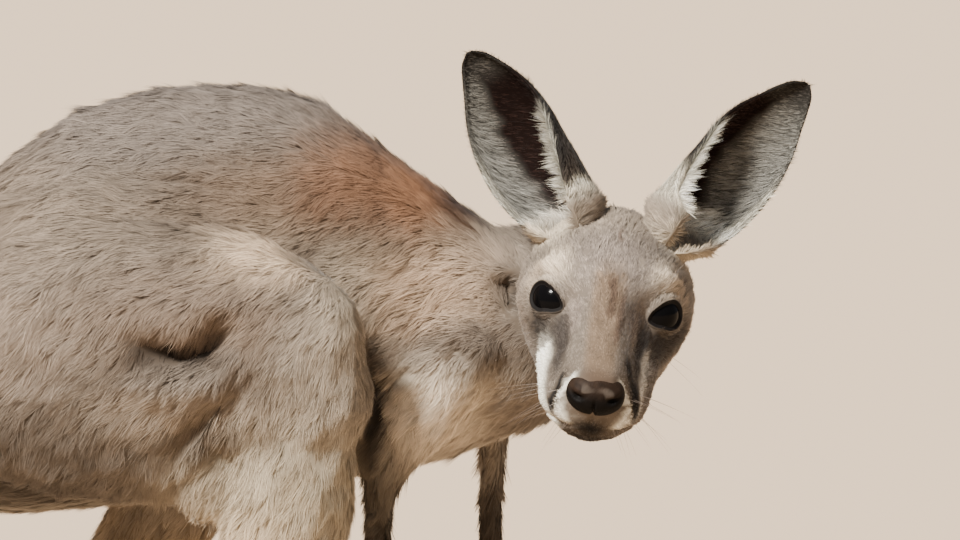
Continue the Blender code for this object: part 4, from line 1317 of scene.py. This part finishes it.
DEPTH = Spread(  # of the skin under the coat's tips
    height=((0, 0.8), (40, 0.9), (110, 1.6), (170, 3.0), (220, 4.6)),
    tail=((-700, 1.0), (-500, 2.2), (-300, 3.2), (-180, 4.4)),
    face=((-80, 4.0), (-50, 2.4), (-10, 1.6), (40, 1.0), (80, 0.5)),
    face_end=(62, 88),
)
HAIR = Spread(  # length of the hair
    height=((0, 2.5), (30, 3.2), (70, 4.8), (130, 6.5), (180, 8.0), (220, 8.5)),
    tail=((-700, 5.0), (-500, 6.0), (-300, 8.0), (-180, 9.5)),
    face=((-80, 8.5), (-50, 6.5), (-10, 4.4), (30, 3.0), (60, 2.0), (80, 1.2)),
    face_end=(60, 90),
)


# ---------------------------------------------------------------- skin
@dataclass(frozen=True)
class Fold:
    """A ridge, or a groove where its height is below 0, along a line of places."""

    path: tuple
    width: float
    height: float
    mirrored: bool = True

    def lift(self, points: np.ndarray) -> np.ndarray:
        """Height over the plain surface: a bell across the line, fading out at both ends, on both sides if mirrored.

        Args:
            points: (N, 3) places in the frame of the path.

        Returns:
            (N,) millimetres.
        """
        total = np.zeros(len(points))
        for side in Side if self.mirrored else (LEFT,):
            near, gap, inwards = along_path(points, np.array(self.path, float) * [1, side, 1], 3 * self.width)
            total[near] += self.height * np.exp(-((gap / self.width) ** 2)) * smoothstep(0.0, 0.3, inwards)
        return total


@dataclass(frozen=True)
class Ball:
    """A round mass that fills a notch, as its centre and its three radii."""

    centre: tuple
    radii: tuple

    def join(self, mesh: bmesh.types.BMesh) -> None:
        """Adds the mass to a mesh.

        Args:
            mesh: the mesh, in world metres.
        """
        added = bmesh.ops.create_uvsphere(mesh, u_segments=24, v_segments=12, radius=1.0)["verts"]
        bmesh.ops.scale(mesh, vec=tuple(np.array(self.radii) * MM), verts=added)
        bmesh.ops.translate(mesh, vec=tuple(PLACES.world(np.array(self.centre))), verts=added)


FILLS = (
    Ball((7, -83, 216), (21, 15, 25)),  # the notch between thigh and shank on the right
    Ball((-470, 26, 12), (18, 11.8, 12.2)),  # the cut near the tail's tip
)
HEAD_FOLDS = (
    Fold(((16, 17, 8), (6, 24, 12.5), (-5, 30, 11), (-14, 35, 4)), 4.2, 2.4),  # brow
    Fold(((20, 18, -4), (32, 16, -7), (46, 15, -9)), 5.5, -2.0),  # hollow in front of the eye
    Fold(((16, 26, -14), (30, 22, -15), (44, 19.5, -16)), 4.5, -1.4),  # hollow over the cheek
    Fold(((10, 33, -20), (28, 27, -24), (46, 23.5, -29), (62, 20, -37)), 4.5, 2.2),  # cheek
    Fold(((14, 7, 13), (34, 6.5, 8), (58, 6.5, 4)), 3.4, 0.9),  # edge of the nose bridge
    Fold(((66, 15, -20), (56, 18, -24)), 6.5, 1.4),  # whisker pad
    Fold(((79, 1, -27), (74, 9, -31.5), (64, 16.5, -34), (46, 21, -37), (26, 24, -38)), 1.5, -1.9),  # mouth
    Fold(((80, 0, -20), (77, 0, -30)), 1.1, -1.8, False),  # cleft of the lip
    Fold(((-28, 0, 28), (-4, 0, 23), (12, 0, 17)), 2.2, -0.7, False),  # line down the forehead
    Fold(((-4, 36, -12), (-20, 41, -10)), 8.0, 0.9),
)
BODY_FOLDS = (
    Fold(((-32, 98, 281), (-18, 101, 276), (-6, 103, 271), (6, 103, 275), (18, 104, 290), (24, 104, 300)), 7.5, -13.0),
    Fold(((-46, 98, 292), (-20, 101, 290), (10, 103, 291), (36, 102, 294)), 10.0, 2.6),
    Fold(((-34, 98, 262), (-8, 103, 259), (12, 105, 262), (30, 105, 270)), 8.0, 2.6),
    Fold(((32, 105, 268), (25, 105, 263), (14, 103, 248), (-4, 97, 232), (-14, 92, 217)), 6.0, -5.5),
    Fold(((-26, 44, 344), (-6, 46, 348), (18, 47, 344), (34, 45, 340)), 2.8, -2.2),
    Fold(((-20, 52, 336), (2, 52, 339), (24, 52, 335)), 2.6, -2.0),
    Fold(((-60, 60, 322), (-30, 62, 330), (0, 62, 331), (40, 60, 332), (62, 66, 318)), 5.0, -2.2),
    Fold(((78, 62, 306), (83, 56, 290), (83, 50, 270), (84, 46, 250), (85, 44, 225)), 5.5, -7.0),
    Fold(((84, 46, 246), (94, 47, 255), (106, 47, 262)), 3.2, -3.5),
    Fold(((118, 46, 260), (123, 47, 268), (131, 46, 260)), 2.6, -2.0),
    Fold(((143, 30, 303), (146, 33, 296), (149, 35, 290), (153, 37, 282)), 5.0, -7.5),
    Fold(((96, 30, 336), (104, 38, 322), (108, 42, 306)), 5.0, -2.0),
    Fold(((112, 24, 334), (120, 30, 320), (124, 36, 306)), 4.0, -2.0),
)


def folds(points: np.ndarray) -> np.ndarray:
    """Height of the folds and hollows that the skin has over the plain solids.

    Args:
        points: (N, 3) in the body's millimetres.

    Returns:
        (N,) millimetres along the normal.
    """
    local = PLACES.head(points)
    total = sum(fold.lift(local) for fold in HEAD_FOLDS) + sum(fold.lift(points) for fold in BODY_FOLDS)
    loose = smoothstep(6.0, 9.0, HAIR.at(points))
    return total + loose * (0.8 * BROAD_NOISE.at(points, 15.0) + 0.45 * FINE_NOISE.at(points, 7.5))


def lidded(points: np.ndarray) -> np.ndarray:
    """Draws the skin over the eyeballs: lids just outside them, and inside the opening just under them.

    Args:
        points: (N, 3) in the body's millimetres.

    Returns:
        (N, 3) moved points.
    """
    local = PLACES.head(points)
    for place in EYES:
        distance, past = place.polar(local)
        target = EYE_RADIUS + 1.15 - 2.6 * smoothstep(2.0, -2.5, past)
        hold = smoothstep(40.0, 9.0, past) * smoothstep(30, 19, distance)
        scale = 1 + hold * (target / np.maximum(distance, 1e-6) - 1)
        moved = place.centre() + (local - place.centre()) * scale[:, None]
        local = np.where((distance < 30)[:, None], moved, local)
    return PLACES.body_from_head(local)


def coloured(points: np.ndarray, normals: np.ndarray) -> tuple:
    """Colour of skin and coat, the ears' included, and what the ears change of the coat.

    Args:
        points: (N, 3) in the body's millimetres.
        normals: (N, 3) unit normals.

    Returns:
        Colours, and for places on an ear the hair's direction, length, density and share (0 off the ears).
    """
    colours = markings(points)
    local, local_normals = PLACES.head(points), normals @ HEAD_TURN
    ways = np.zeros_like(points)
    lengths, density, share = np.zeros((3, len(points)))
    for ear in EARS:
        painted, over, length, many, weight = ear.dress(points, local, local_normals)
        on = weight > 0
        colours = blend(colours, painted, weight[:, None])
        ways = np.where(on[:, None], over, ways)
        lengths, density = np.where(on, length, lengths), np.where(on, many, density)
        share = np.maximum(share, weight)
    return colours, ways, lengths, density, share


@dataclass
class Skin:
    """The one skin, as arrays in the body's millimetres."""

    points: np.ndarray | None = None
    faces: np.ndarray | None = None
    normals: np.ndarray | None = None
    uv: np.ndarray | None = None  # (M, 3, 2), for each triangle's corners
    obj: bpy.types.Object | None = None

    def build(self) -> "Skin":
        """Fuses the flesh nodes, sinks them by the coat's depth, shapes folds and lids, and welds the ears on.

        Returns:
            The skin itself.
        """
        nodes = [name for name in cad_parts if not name.startswith(("eye", "claw", "ear"))]
        joined = bmesh.new()
        for name in nodes + ["eye_left", "eye_right"]:
            joined.from_mesh(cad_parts[name].data)
        for ball in FILLS:
            ball.join(joined)
        mesh = bpy.data.meshes.new("skin_start")
        joined.to_mesh(mesh)
        joined.free()
        self.obj = link("skin", mesh)
        fuse = self.obj.modifiers.new("fuse", "REMESH")
        fuse.mode = "VOXEL"
        fuse.voxel_size = SKIN_VOXEL * MM
        self._smooth(SKIN_SMOOTH)
        points, normals = self._arrays()
        self._write(points - normals * DEPTH.at(points)[:, None])
        self._smooth(4)
        points, normals = self._arrays()
        self._write(lidded(points + normals * folds(points)[:, None]))
        thin = self.obj.modifiers.new("thin", "DECIMATE")
        thin.ratio = SKIN_FACES / (2 * len(self.obj.data.polygons))
        self._settle()
        for ear in EARS:
            self._weld(ear)
        self._triangulate()
        self.points, self.normals = self._arrays()
        self.faces = self._triangles()
        attach(self.obj, *nodes, "ear_left", "ear_right", slot="coat")
        return self

    def tree(self) -> BVHTree:
        """A search tree over the skin, in the body's millimetres."""
        return BVHTree.FromPolygons(self.points.tolist(), self.faces.tolist())

    def dress(self) -> None:
        """Unwraps the skin by its own shape and paints it, darker in the ears."""
        mesh = self.obj.data
        mesh.uv_layers.new(name="OFBake")
        bpy.context.view_layer.objects.active = self.obj
        for other in bpy.context.selected_objects:
            other.select_set(False)
        self.obj.select_set(True)
        bpy.ops.object.mode_set(mode="EDIT")
        bpy.ops.mesh.select_all(action="SELECT")
        bpy.ops.uv.smart_project(angle_limit=math.radians(66), island_margin=0.002)
        bpy.ops.object.mode_set(mode="OBJECT")
        flat = np.empty(len(mesh.loops) * 2, np.float32)
        mesh.uv_layers["OFBake"].data.foreach_get("uv", flat)
        self.uv = flat.reshape(-1, 3, 2).astype(float)
        colours, _, _, _, share = coloured(self.points, self.normals)
        paint(mesh, colours * (SKIN_SHADE * (1 - 0.6 * share))[:, None])
        mesh.materials.clear()
        mesh.materials.append(material(Finish.SKIN))
        mesh.polygons.foreach_set("use_smooth", np.ones(len(mesh.polygons), bool))
        mesh.polygons.foreach_set("material_index", np.zeros(len(mesh.polygons), np.int32))

    def _smooth(self, passes: int) -> None:
        """Evens the mesh out.

        Args:
            passes: how many times.
        """
        modifier = self.obj.modifiers.new("smooth", "SMOOTH")
        modifier.factor = 0.5
        modifier.iterations = passes
        self._settle()

    def _weld(self, ear: Ear) -> None:
        """Unites an ear with the skin.

        Args:
            ear: the ear.
        """
        points, faces = ear.mesh()
        leaf = new_mesh(f"leaf_{ear.side.word}", PLACES.world(points), faces)
        shell = bmesh.new()
        shell.from_mesh(leaf.data)
        bmesh.ops.recalc_face_normals(shell, faces=shell.faces)
        if shell.calc_volume(signed=True) < 0:
            bmesh.ops.reverse_faces(shell, faces=shell.faces)
        bmesh.ops.triangulate(shell, faces=shell.faces)
        shell.to_mesh(leaf.data)
        shell.free()
        join = self.obj.modifiers.new("join", "BOOLEAN")
        join.operation = "UNION"
        join.object = leaf
        join.solver = "EXACT"
        self._settle()
        bpy.data.objects.remove(leaf)

    def _triangulate(self) -> None:
        """Parts every face of the mesh into triangles."""
        mesh = bmesh.new()
        mesh.from_mesh(self.obj.data)
        bmesh.ops.triangulate(mesh, faces=mesh.faces)
        mesh.to_mesh(self.obj.data)
        mesh.free()

    def _settle(self) -> None:
        """Makes the result of the modifiers the mesh itself."""
        graph = bpy.context.evaluated_depsgraph_get()
        bpy.context.view_layer.update()
        made = bpy.data.meshes.new_from_object(self.obj.evaluated_get(graph))
        self.obj.modifiers.clear()
        self.obj.data = made

    def _arrays(self) -> tuple:
        """Points in the body's millimetres and unit normals of the mesh.

        Returns:
            Two (N, 3) arrays.
        """
        mesh = self.obj.data
        points, normals = np.empty((2, len(mesh.vertices) * 3), np.float32)
        mesh.vertices.foreach_get("co", points)
        mesh.vertex_normals.foreach_get("vector", normals)
        return PLACES.body(points.reshape(-1, 3)), normals.reshape(-1, 3).astype(float)

    def _write(self, points: np.ndarray) -> None:
        """Moves the mesh to points in the body's millimetres."""
        self.obj.data.vertices.foreach_set("co", PLACES.world(points).astype(np.float32).ravel())
        self.obj.data.update()

    def _triangles(self) -> np.ndarray:
        """The mesh's triangles.

        Returns:
            (M, 3) indices.
        """
        flat = np.empty(len(self.obj.data.polygons) * 3, np.int32)
        self.obj.data.polygons.foreach_get("vertices", flat)
        return flat.reshape(-1, 3)


# ---------------------------------------------------------------- coat
class Clumps:
    """Scattered centres that the hairs round them lean to."""

    SIZE = 32

    def __init__(self, seed: int) -> None:
        """Draws where in its cell each centre is, and four random numbers for each.

        Args:
            seed: seed of the draws.
        """
        rng = np.random.default_rng(seed)
        self.jitter = rng.random((self.SIZE,) * 3 + (3,))
        self.moods = rng.normal(0, 1, (self.SIZE,) * 3 + (4,))

    def nearest(self, points: np.ndarray, size: float) -> tuple:
        """The nearest centre to each place, one centre being somewhere in each cell of a lattice.

        Args:
            points: (N, 3) places in millimetres.
            size: size of one cell.

        Returns:
            (N, 3) centres and (N, 4) random numbers that belong to them.
        """
        q = points / size
        cell = np.floor(q).astype(int)
        best = np.full(len(points), np.inf)
        centres, moods = np.zeros_like(points), np.zeros((len(points), 4))
        for step in np.ndindex(3, 3, 3):
            index = cell + step - 1
            i, j, k = (index % self.SIZE).T
            centre = index + self.jitter[i, j, k]
            gap = ((centre - q) ** 2).sum(1)
            closer = gap < best
            best = np.where(closer, gap, best)
            centres[closer] = centre[closer] * size
            moods[closer] = self.moods[i, j, k][closer]
        return centres, moods


@dataclass
class Tufts:
    """Roots of many tufts, with what each needs to be drawn."""

    roots: np.ndarray
    normals: np.ndarray
    ways: np.ndarray
    lengths: np.ndarray
    widths: np.ndarray
    rise: np.ndarray
    colours: np.ndarray
    uv: np.ndarray
    pull: np.ndarray

    def pick(self, chosen: np.ndarray) -> "Tufts":
        """The tufts that a mask or a list of indices chooses."""
        return Tufts(*(values[chosen] for values in vars(self).values()))


@dataclass(frozen=True)
class Layer:
    """A layer of the coat: how many tufts it has beside the density, and how they differ."""

    name: str
    fineness: float
    segments: int
    shortest: float = 0.0
    longer: float = 1.0
    wider: float = 1.0


REGIONS = {  # name of each coat piece and the test of the roots it takes, in order
    "head": lambda p: PLACES.skull_gap(p) < 86,
    "tail": lambda p: p[:, 0] < -150,
    "legs": lambda p: p[:, 2] < 150,
    "front": lambda p: p[:, 0] > 60,
    "left": lambda p: p[:, 1] > 20,
    "right": lambda p: p[:, 1] < -20,
    "back": lambda p: np.ones(len(p), bool),
}


def body_density(points: np.ndarray) -> np.ndarray:
    """Tufts for each square millimetre of skin: none in the eyes' openings or under the nose's pad.

    Args:
        points: (N, 3) in the body's millimetres.

    Returns:
        (N,) numbers.
    """
    near_side = smoothstep(20.0, -20.0, points[:, 1])
    density = steady_line(((0, 1.7), (60, 1.7), (150, 2.0), (180, 2.4)), points[:, 2])
    density = density * (1 + 0.75 * near_side * smoothstep(140.0, 180.0, points[:, 2]))
    density = np.where(points[:, 0] < TAIL_FROM, 1.4, density)
    density = np.where(PLACES.skull_gap(points) < 80, 5.0, density)
    pad = (((PLACES.head(points) - [75.5, 0, -12.8]) / [9.5, 13.6, 10.4]) ** 2).sum(1)
    return np.where(off_the_eyes(points, 1.2) & (pad >= 1.0), density, 0.0)


def off_the_eyes(points: np.ndarray, margin: float = 1.5) -> np.ndarray:
    """Which places lie outside both eyes' openings.

    Args:
        points: (N, 3) in the body's millimetres.
        margin: degrees past the rim from which a place is outside.

    Returns:
        (N,) mask.
    """
    local = PLACES.head(points)
    free = np.ones(len(points), bool)
    for place in EYES:
        distance, past = place.polar(local)
        free &= (distance >= 22) | (past >= margin)
    return free


@dataclass
class Coat:
    """The coat: short fur all over and longer locks between it, each in pieces by region."""

    seed: int = 21
    layers: tuple = (Layer("fur", 1.0, 1), Layer("locks", 0.10, 2, 4.0, 1.25, 1.4))
    clump_seed: int = 41
    clump_size: float = 6.0
    # shortest and longest hair, as a part of the usual clump's, and the size of its clumps
    clump_steps: tuple = ((0, 0.5, 0.42), (0.5, 0.8, 0.65), (0.8, 9, 1.0))
    clump_pull: float = 0.42
    usual_length: float = 9.0
    lift: float = 13.0  # degrees a blade rises at its root
    roll: float = 8.0  # degrees blades turn round their length
    short: float = 5.5  # hair under this length differs more in tone
    bake_patch: float = 0.003  # size of a tuft's patch on the OFBake map
    most_faces: int = 195_000  # triangles of a piece

    def grow(self, skin: Skin) -> list:
        """Builds the coat in its pieces.

        Args:
            skin: the skin, unwrapped.

        Returns:
            The pieces.
        """
        rng = np.random.default_rng(self.seed)
        pieces = []
        for layer in self.layers:
            tufts = self.scatter(skin, layer.fineness, rng)
            tufts = tufts.pick(tufts.lengths > layer.shortest)
            tufts.lengths, tufts.widths = tufts.lengths * layer.longer, tufts.widths * layer.wider
            tips = tufts.roots + tufts.ways * tufts.lengths[:, None]
            tufts = tufts.pick(off_the_eyes(tufts.roots) & off_the_eyes(tips))
            free = np.ones(len(tufts.roots), bool)
            for region, test in REGIONS.items():
                chosen = free & test(tufts.roots)
                free &= ~chosen
                picked = np.flatnonzero(chosen)
                parts = math.ceil(len(picked) / (self.most_faces // (2 * layer.segments - 1)))
                for part in range(parts):
                    name = f"{layer.name}_{region}_{part + 1}"
                    pieces.append(self.blades(name, tufts.pick(picked[part::parts]), rng, layer.segments))
        return pieces

    def scatter(self, skin: Skin, fineness: float, rng: np.random.Generator) -> Tufts:
        """Roots spread over the skin; what a tuft takes from its place is mixed from the triangle's corners.

        Args:
            skin: the skin.
            fineness: factor on the number of tufts.
            rng: source of the places.

        Returns:
            The tufts.
        """
        corners = skin.points[skin.faces]
        area = np.linalg.norm(np.cross(corners[:, 1] - corners[:, 0], corners[:, 2] - corners[:, 0]), axis=1) / 2
        colours, ear_ways, ear_lengths, ear_density, share = coloured(skin.points, skin.normals)
        many = blend(body_density(skin.points), ear_density, share)
        ways = np.where(share[:, None] > 0.5, ear_ways, combed(skin.points, skin.normals))
        lengths = blend(HAIR.at(skin.points), ear_lengths, share)
        index = np.repeat(np.arange(len(area)), rng.poisson(area * fineness * many[skin.faces].mean(1)))
        a, b = rng.random((2, len(index)))
        over = a + b > 1
        a, b = np.where(over, 1 - a, a), np.where(over, 1 - b, b)
        mix = np.stack([1 - a - b, a, b], 1)
        spots = skin.faces[index]

        def mixed(values: np.ndarray) -> np.ndarray:
            """Values at the roots from values at the corners."""
            return np.einsum("nk,nk...->n...", mix, values[spots])

        points, normals = mixed(skin.points), unit(mixed(skin.normals))
        centres, moods = self.clumps(skin.points, lengths)
        nearest = skin.faces[index, mix.argmax(1)]
        pull, moods = centres[nearest] - points, moods[nearest]
        pull -= (pull * normals).sum(1, keepdims=True) * normals
        uv = np.einsum("nk,nkj->nj", mix, skin.uv[index])
        ways, length, share = unit(mixed(ways)), mixed(lengths), mixed(share)
        swing = 20.0 * FINE_NOISE.at(points, 17.0) + 9.0 * moods[:, 0] + rng.normal(0, 6, len(points))
        swing = np.radians(swing * (1 - 0.6 * share))[:, None]
        ways = along_skin(ways * np.cos(swing) + np.cross(normals, ways) * np.sin(swing), normals)
        length = length * (1 + 0.12 * BROAD_NOISE.at(points, 12.0) + 0.10 * moods[:, 1])
        widths = (0.18 + 0.017 * length) * (1 + 0.25 * smoothstep(-20.0, 20.0, points[:, 1]))
        rise = np.where(share > 0.5, 1.4, 1.0 + 0.35 * moods[:, 2]).clip(0.3, 2.2)
        tones = (1 + 0.08 * TONE_NOISE.at(points, 7.0) + 0.055 * moods[:, 3])[:, None]
        painted = mixed(colours)
        on_head = PLACES.skull_gap(points) < 84
        painted[on_head] = coloured(points[on_head], normals[on_head])[0]
        widths = widths * (1 - 0.35 * share) * (1 + 0.25 * on_head * (1 - share))
        tones = tones * (1 + 0.45 * share * rng.normal(0, 1, len(points)).clip(-1.6, 2))[:, None]
        return Tufts(points, normals, ways, length, widths, rise, painted * tones, uv, pull)

    def clumps(self, points: np.ndarray, lengths: np.ndarray) -> tuple:
        """The clump that each place belongs to; shorter hair gathers in smaller clumps.

        Args:
            points: (N, 3) in the body's millimetres.
            lengths: (N,) lengths of the hair there.

        Returns:
            (N, 3) centres and (N, 4) random numbers.
        """
        size = np.clip(lengths / self.usual_length, 0.35, 1.0)
        centres, moods = np.zeros_like(points), np.zeros((len(points), 4))
        for low, high, cell in self.clump_steps:
            chosen = (size >= low) & (size < high)
            centres[chosen], moods[chosen] = Clumps(self.clump_seed).nearest(points[chosen], self.clump_size * cell)
        return centres, moods

    def blades(self, name: str, tufts: Tufts, rng: np.random.Generator, segments: int) -> bpy.types.Object:
        """A mesh of tapered blades that rise from the skin and bend back along it.

        A blade's height follows sin(lift) times its length, bent over as the square of the way along it. Its middle
        line also leans towards where the clumps gather, and its sides close to a point at the tip. Each blade is
        shaded mostly by the skin's own normal, as a lock of fine hairs is.

        Args:
            name: the piece's name.
            tufts: the tufts.
            rng: source of the small differences.
            segments: stretches along a blade.

        Returns:
            The piece.
        """
        count = len(tufts.roots)
        length = tufts.lengths * rng.uniform(0.7, 1.2, count)
        rise = np.radians(self.lift * rng.uniform(0.5, 1.6, count) * tufts.rise)[:, None]
        roll = np.radians(rng.normal(0, self.roll, count))[:, None]
        wide = np.cross(tufts.normals, tufts.ways) * np.cos(roll) + tufts.normals * np.sin(roll)
        half = 0.5 * tufts.widths * rng.uniform(0.7, 1.35, count)
        sigma = np.where(tufts.lengths < self.short, 0.32, 0.10)
        tone = (1 + rng.normal(0, 1, count) * sigma).clip(0.25, 2.0)[:, None]
        rows, shades, looks = [], [], []
        for step in range(segments + 1):
            t = step / segments
            forward = tufts.ways * (t * length)[:, None] * np.cos(rise * (1 - 0.6 * t))
            up = tufts.normals * (length * t * (1 - 0.45 * t))[:, None] * np.sin(rise)
            middle = tufts.roots + forward + up + tufts.pull * self.clump_pull * t**1.5 - tufts.normals * 0.25 * (1 - t)
            middle[:, 2] = np.maximum(middle[:, 2], 0.2)
            spread = wide * (half * (1 - t**1.7))[:, None]
            sides = [middle - spread, middle + spread] if step < segments else [middle]
            rows += sides
            # darker towards the root: the hair's own darker base, deepened as painted shade between the locks
            shades += [tufts.colours * (0.58 + 0.62 * t**0.9) * tone] * len(sides)
            look = tufts.normals + 0.3 * tufts.ways * (t - 0.3) - 0.2 * np.cross(wide, tufts.ways)
            looks += [unit(look)] * len(sides)
        points, colours, looks = (np.stack(values, 1).reshape(-1, 3) for values in (rows, shades, looks))
        per = len(rows)
        base = (np.arange(count) * per)[:, None]
        blocks = [base + [2 * k + 1, 2 * k, 2 * k + 2, 2 * k + 3] for k in range(segments - 1)]
        blocks.append(base + [per - 2, per - 3, per - 1])
        spots = np.array([((k % 2) * 2.0 - 1, 2 * (k // 2) / segments - 1) for k in range(per - 1)] + [(0.0, 1.0)])
        spot_uv = (tufts.uv[:, None, :] + self.bake_patch / 2 * spots[None]).reshape(-1, 2)
        uv = np.concatenate([spot_uv[block.ravel()] for block in blocks])
        obj = new_mesh(name, PLACES.world(points), blocks, colours, Finish.COAT, uv)
        obj.data.normals_split_custom_set_from_vertices(looks.astype(np.float32))
        return attach(obj, slot="coat")


# ---------------------------------------------------------------- stage
@dataclass(frozen=True)
class Camera:
    """The camera and what it looks at."""

    target: tuple = (132.4, 0.0, 298.5)
    rise: float = 8.0  # degrees it stands above the target
    distance: float = 3500.0
    seen_width: float = 454.08  # millimetres across its view at the target
    sensor_width: float = 36.0
    clip: tuple = (0.1, 100.0)

    def place(self) -> None:
        """Sets the camera up, level and looking along +Y at the target."""
        data = bpy.data.cameras.new("camera")
        camera = link("camera", data)
        rise = math.radians(self.rise)
        sight = Vector((0, math.cos(rise), -math.sin(rise)))
        camera.location = Vector(PLACES.world(self.target)) - sight * self.distance * MM
        camera.rotation_euler = sight.to_track_quat("-Z", "Y").to_euler()
        data.sensor_width = self.sensor_width
        data.lens = self.sensor_width * self.distance / self.seen_width
        data.clip_start, data.clip_end = self.clip
        bpy.context.scene.camera = camera


@dataclass(frozen=True)
class Stage:
    """A pale floor, a soft sun from behind the camera's left shoulder, and a plain sky."""

    floor_half: float = 30.0
    sun_from: tuple = (-0.46, -0.54, 0.70)
    sun_strength: float = 14.0
    sun_softness: float = 12.0  # degrees
    sun_colour: tuple = (1.0, 0.965, 0.90)
    sky: tuple = (0.86, 0.92, 1.0)
    sky_strength: float = 0.45

    def build(self) -> None:
        """Lays the floor and lights it."""
        corners = np.array([(-1, -1, 0), (1, -1, 0), (1, 1, 0), (-1, 1, 0)], float) * self.floor_half
        floor = new_mesh("floor", corners, np.array([[0, 1, 2, 3]]), finish=Finish.FLOOR, smooth=False)
        data = bpy.data.lights.new("key", "SUN")
        data.energy = self.sun_strength
        data.angle = math.radians(self.sun_softness)
        data.color = self.sun_colour
        link("key", data).rotation_euler = (-Vector(self.sun_from)).to_track_quat("-Z", "Y").to_euler()
        world = bpy.data.worlds.new("sky")
        world.use_nodes = True
        backdrop = world.node_tree.nodes["Background"]
        backdrop.inputs["Color"].default_value = (*self.sky, 1)
        backdrop.inputs["Strength"].default_value = self.sky_strength
        bpy.context.scene.world = world


def main() -> None:
    """Builds the animal piece by piece, then the stage, and logs the faces of each piece."""
    logging.basicConfig(level=logging.INFO)
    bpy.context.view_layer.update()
    skin = Skin().build()
    skin.dress()
    pieces = [skin.obj, *Coat().grow(skin)]
    for side in Side:
        pieces += [Eyeball(side).build(), Lids(side).build()]
    pieces += [NosePad().build(), Claws().build(), Whiskers().build(skin)]
    for piece in pieces:
        log.info("%s: %d faces", piece.name, len(piece.data.polygons))
    Camera().place()
    Stage().build()
    log.info("camera, floor, sun and sky are in place")


if __name__ == "__main__":
    main()
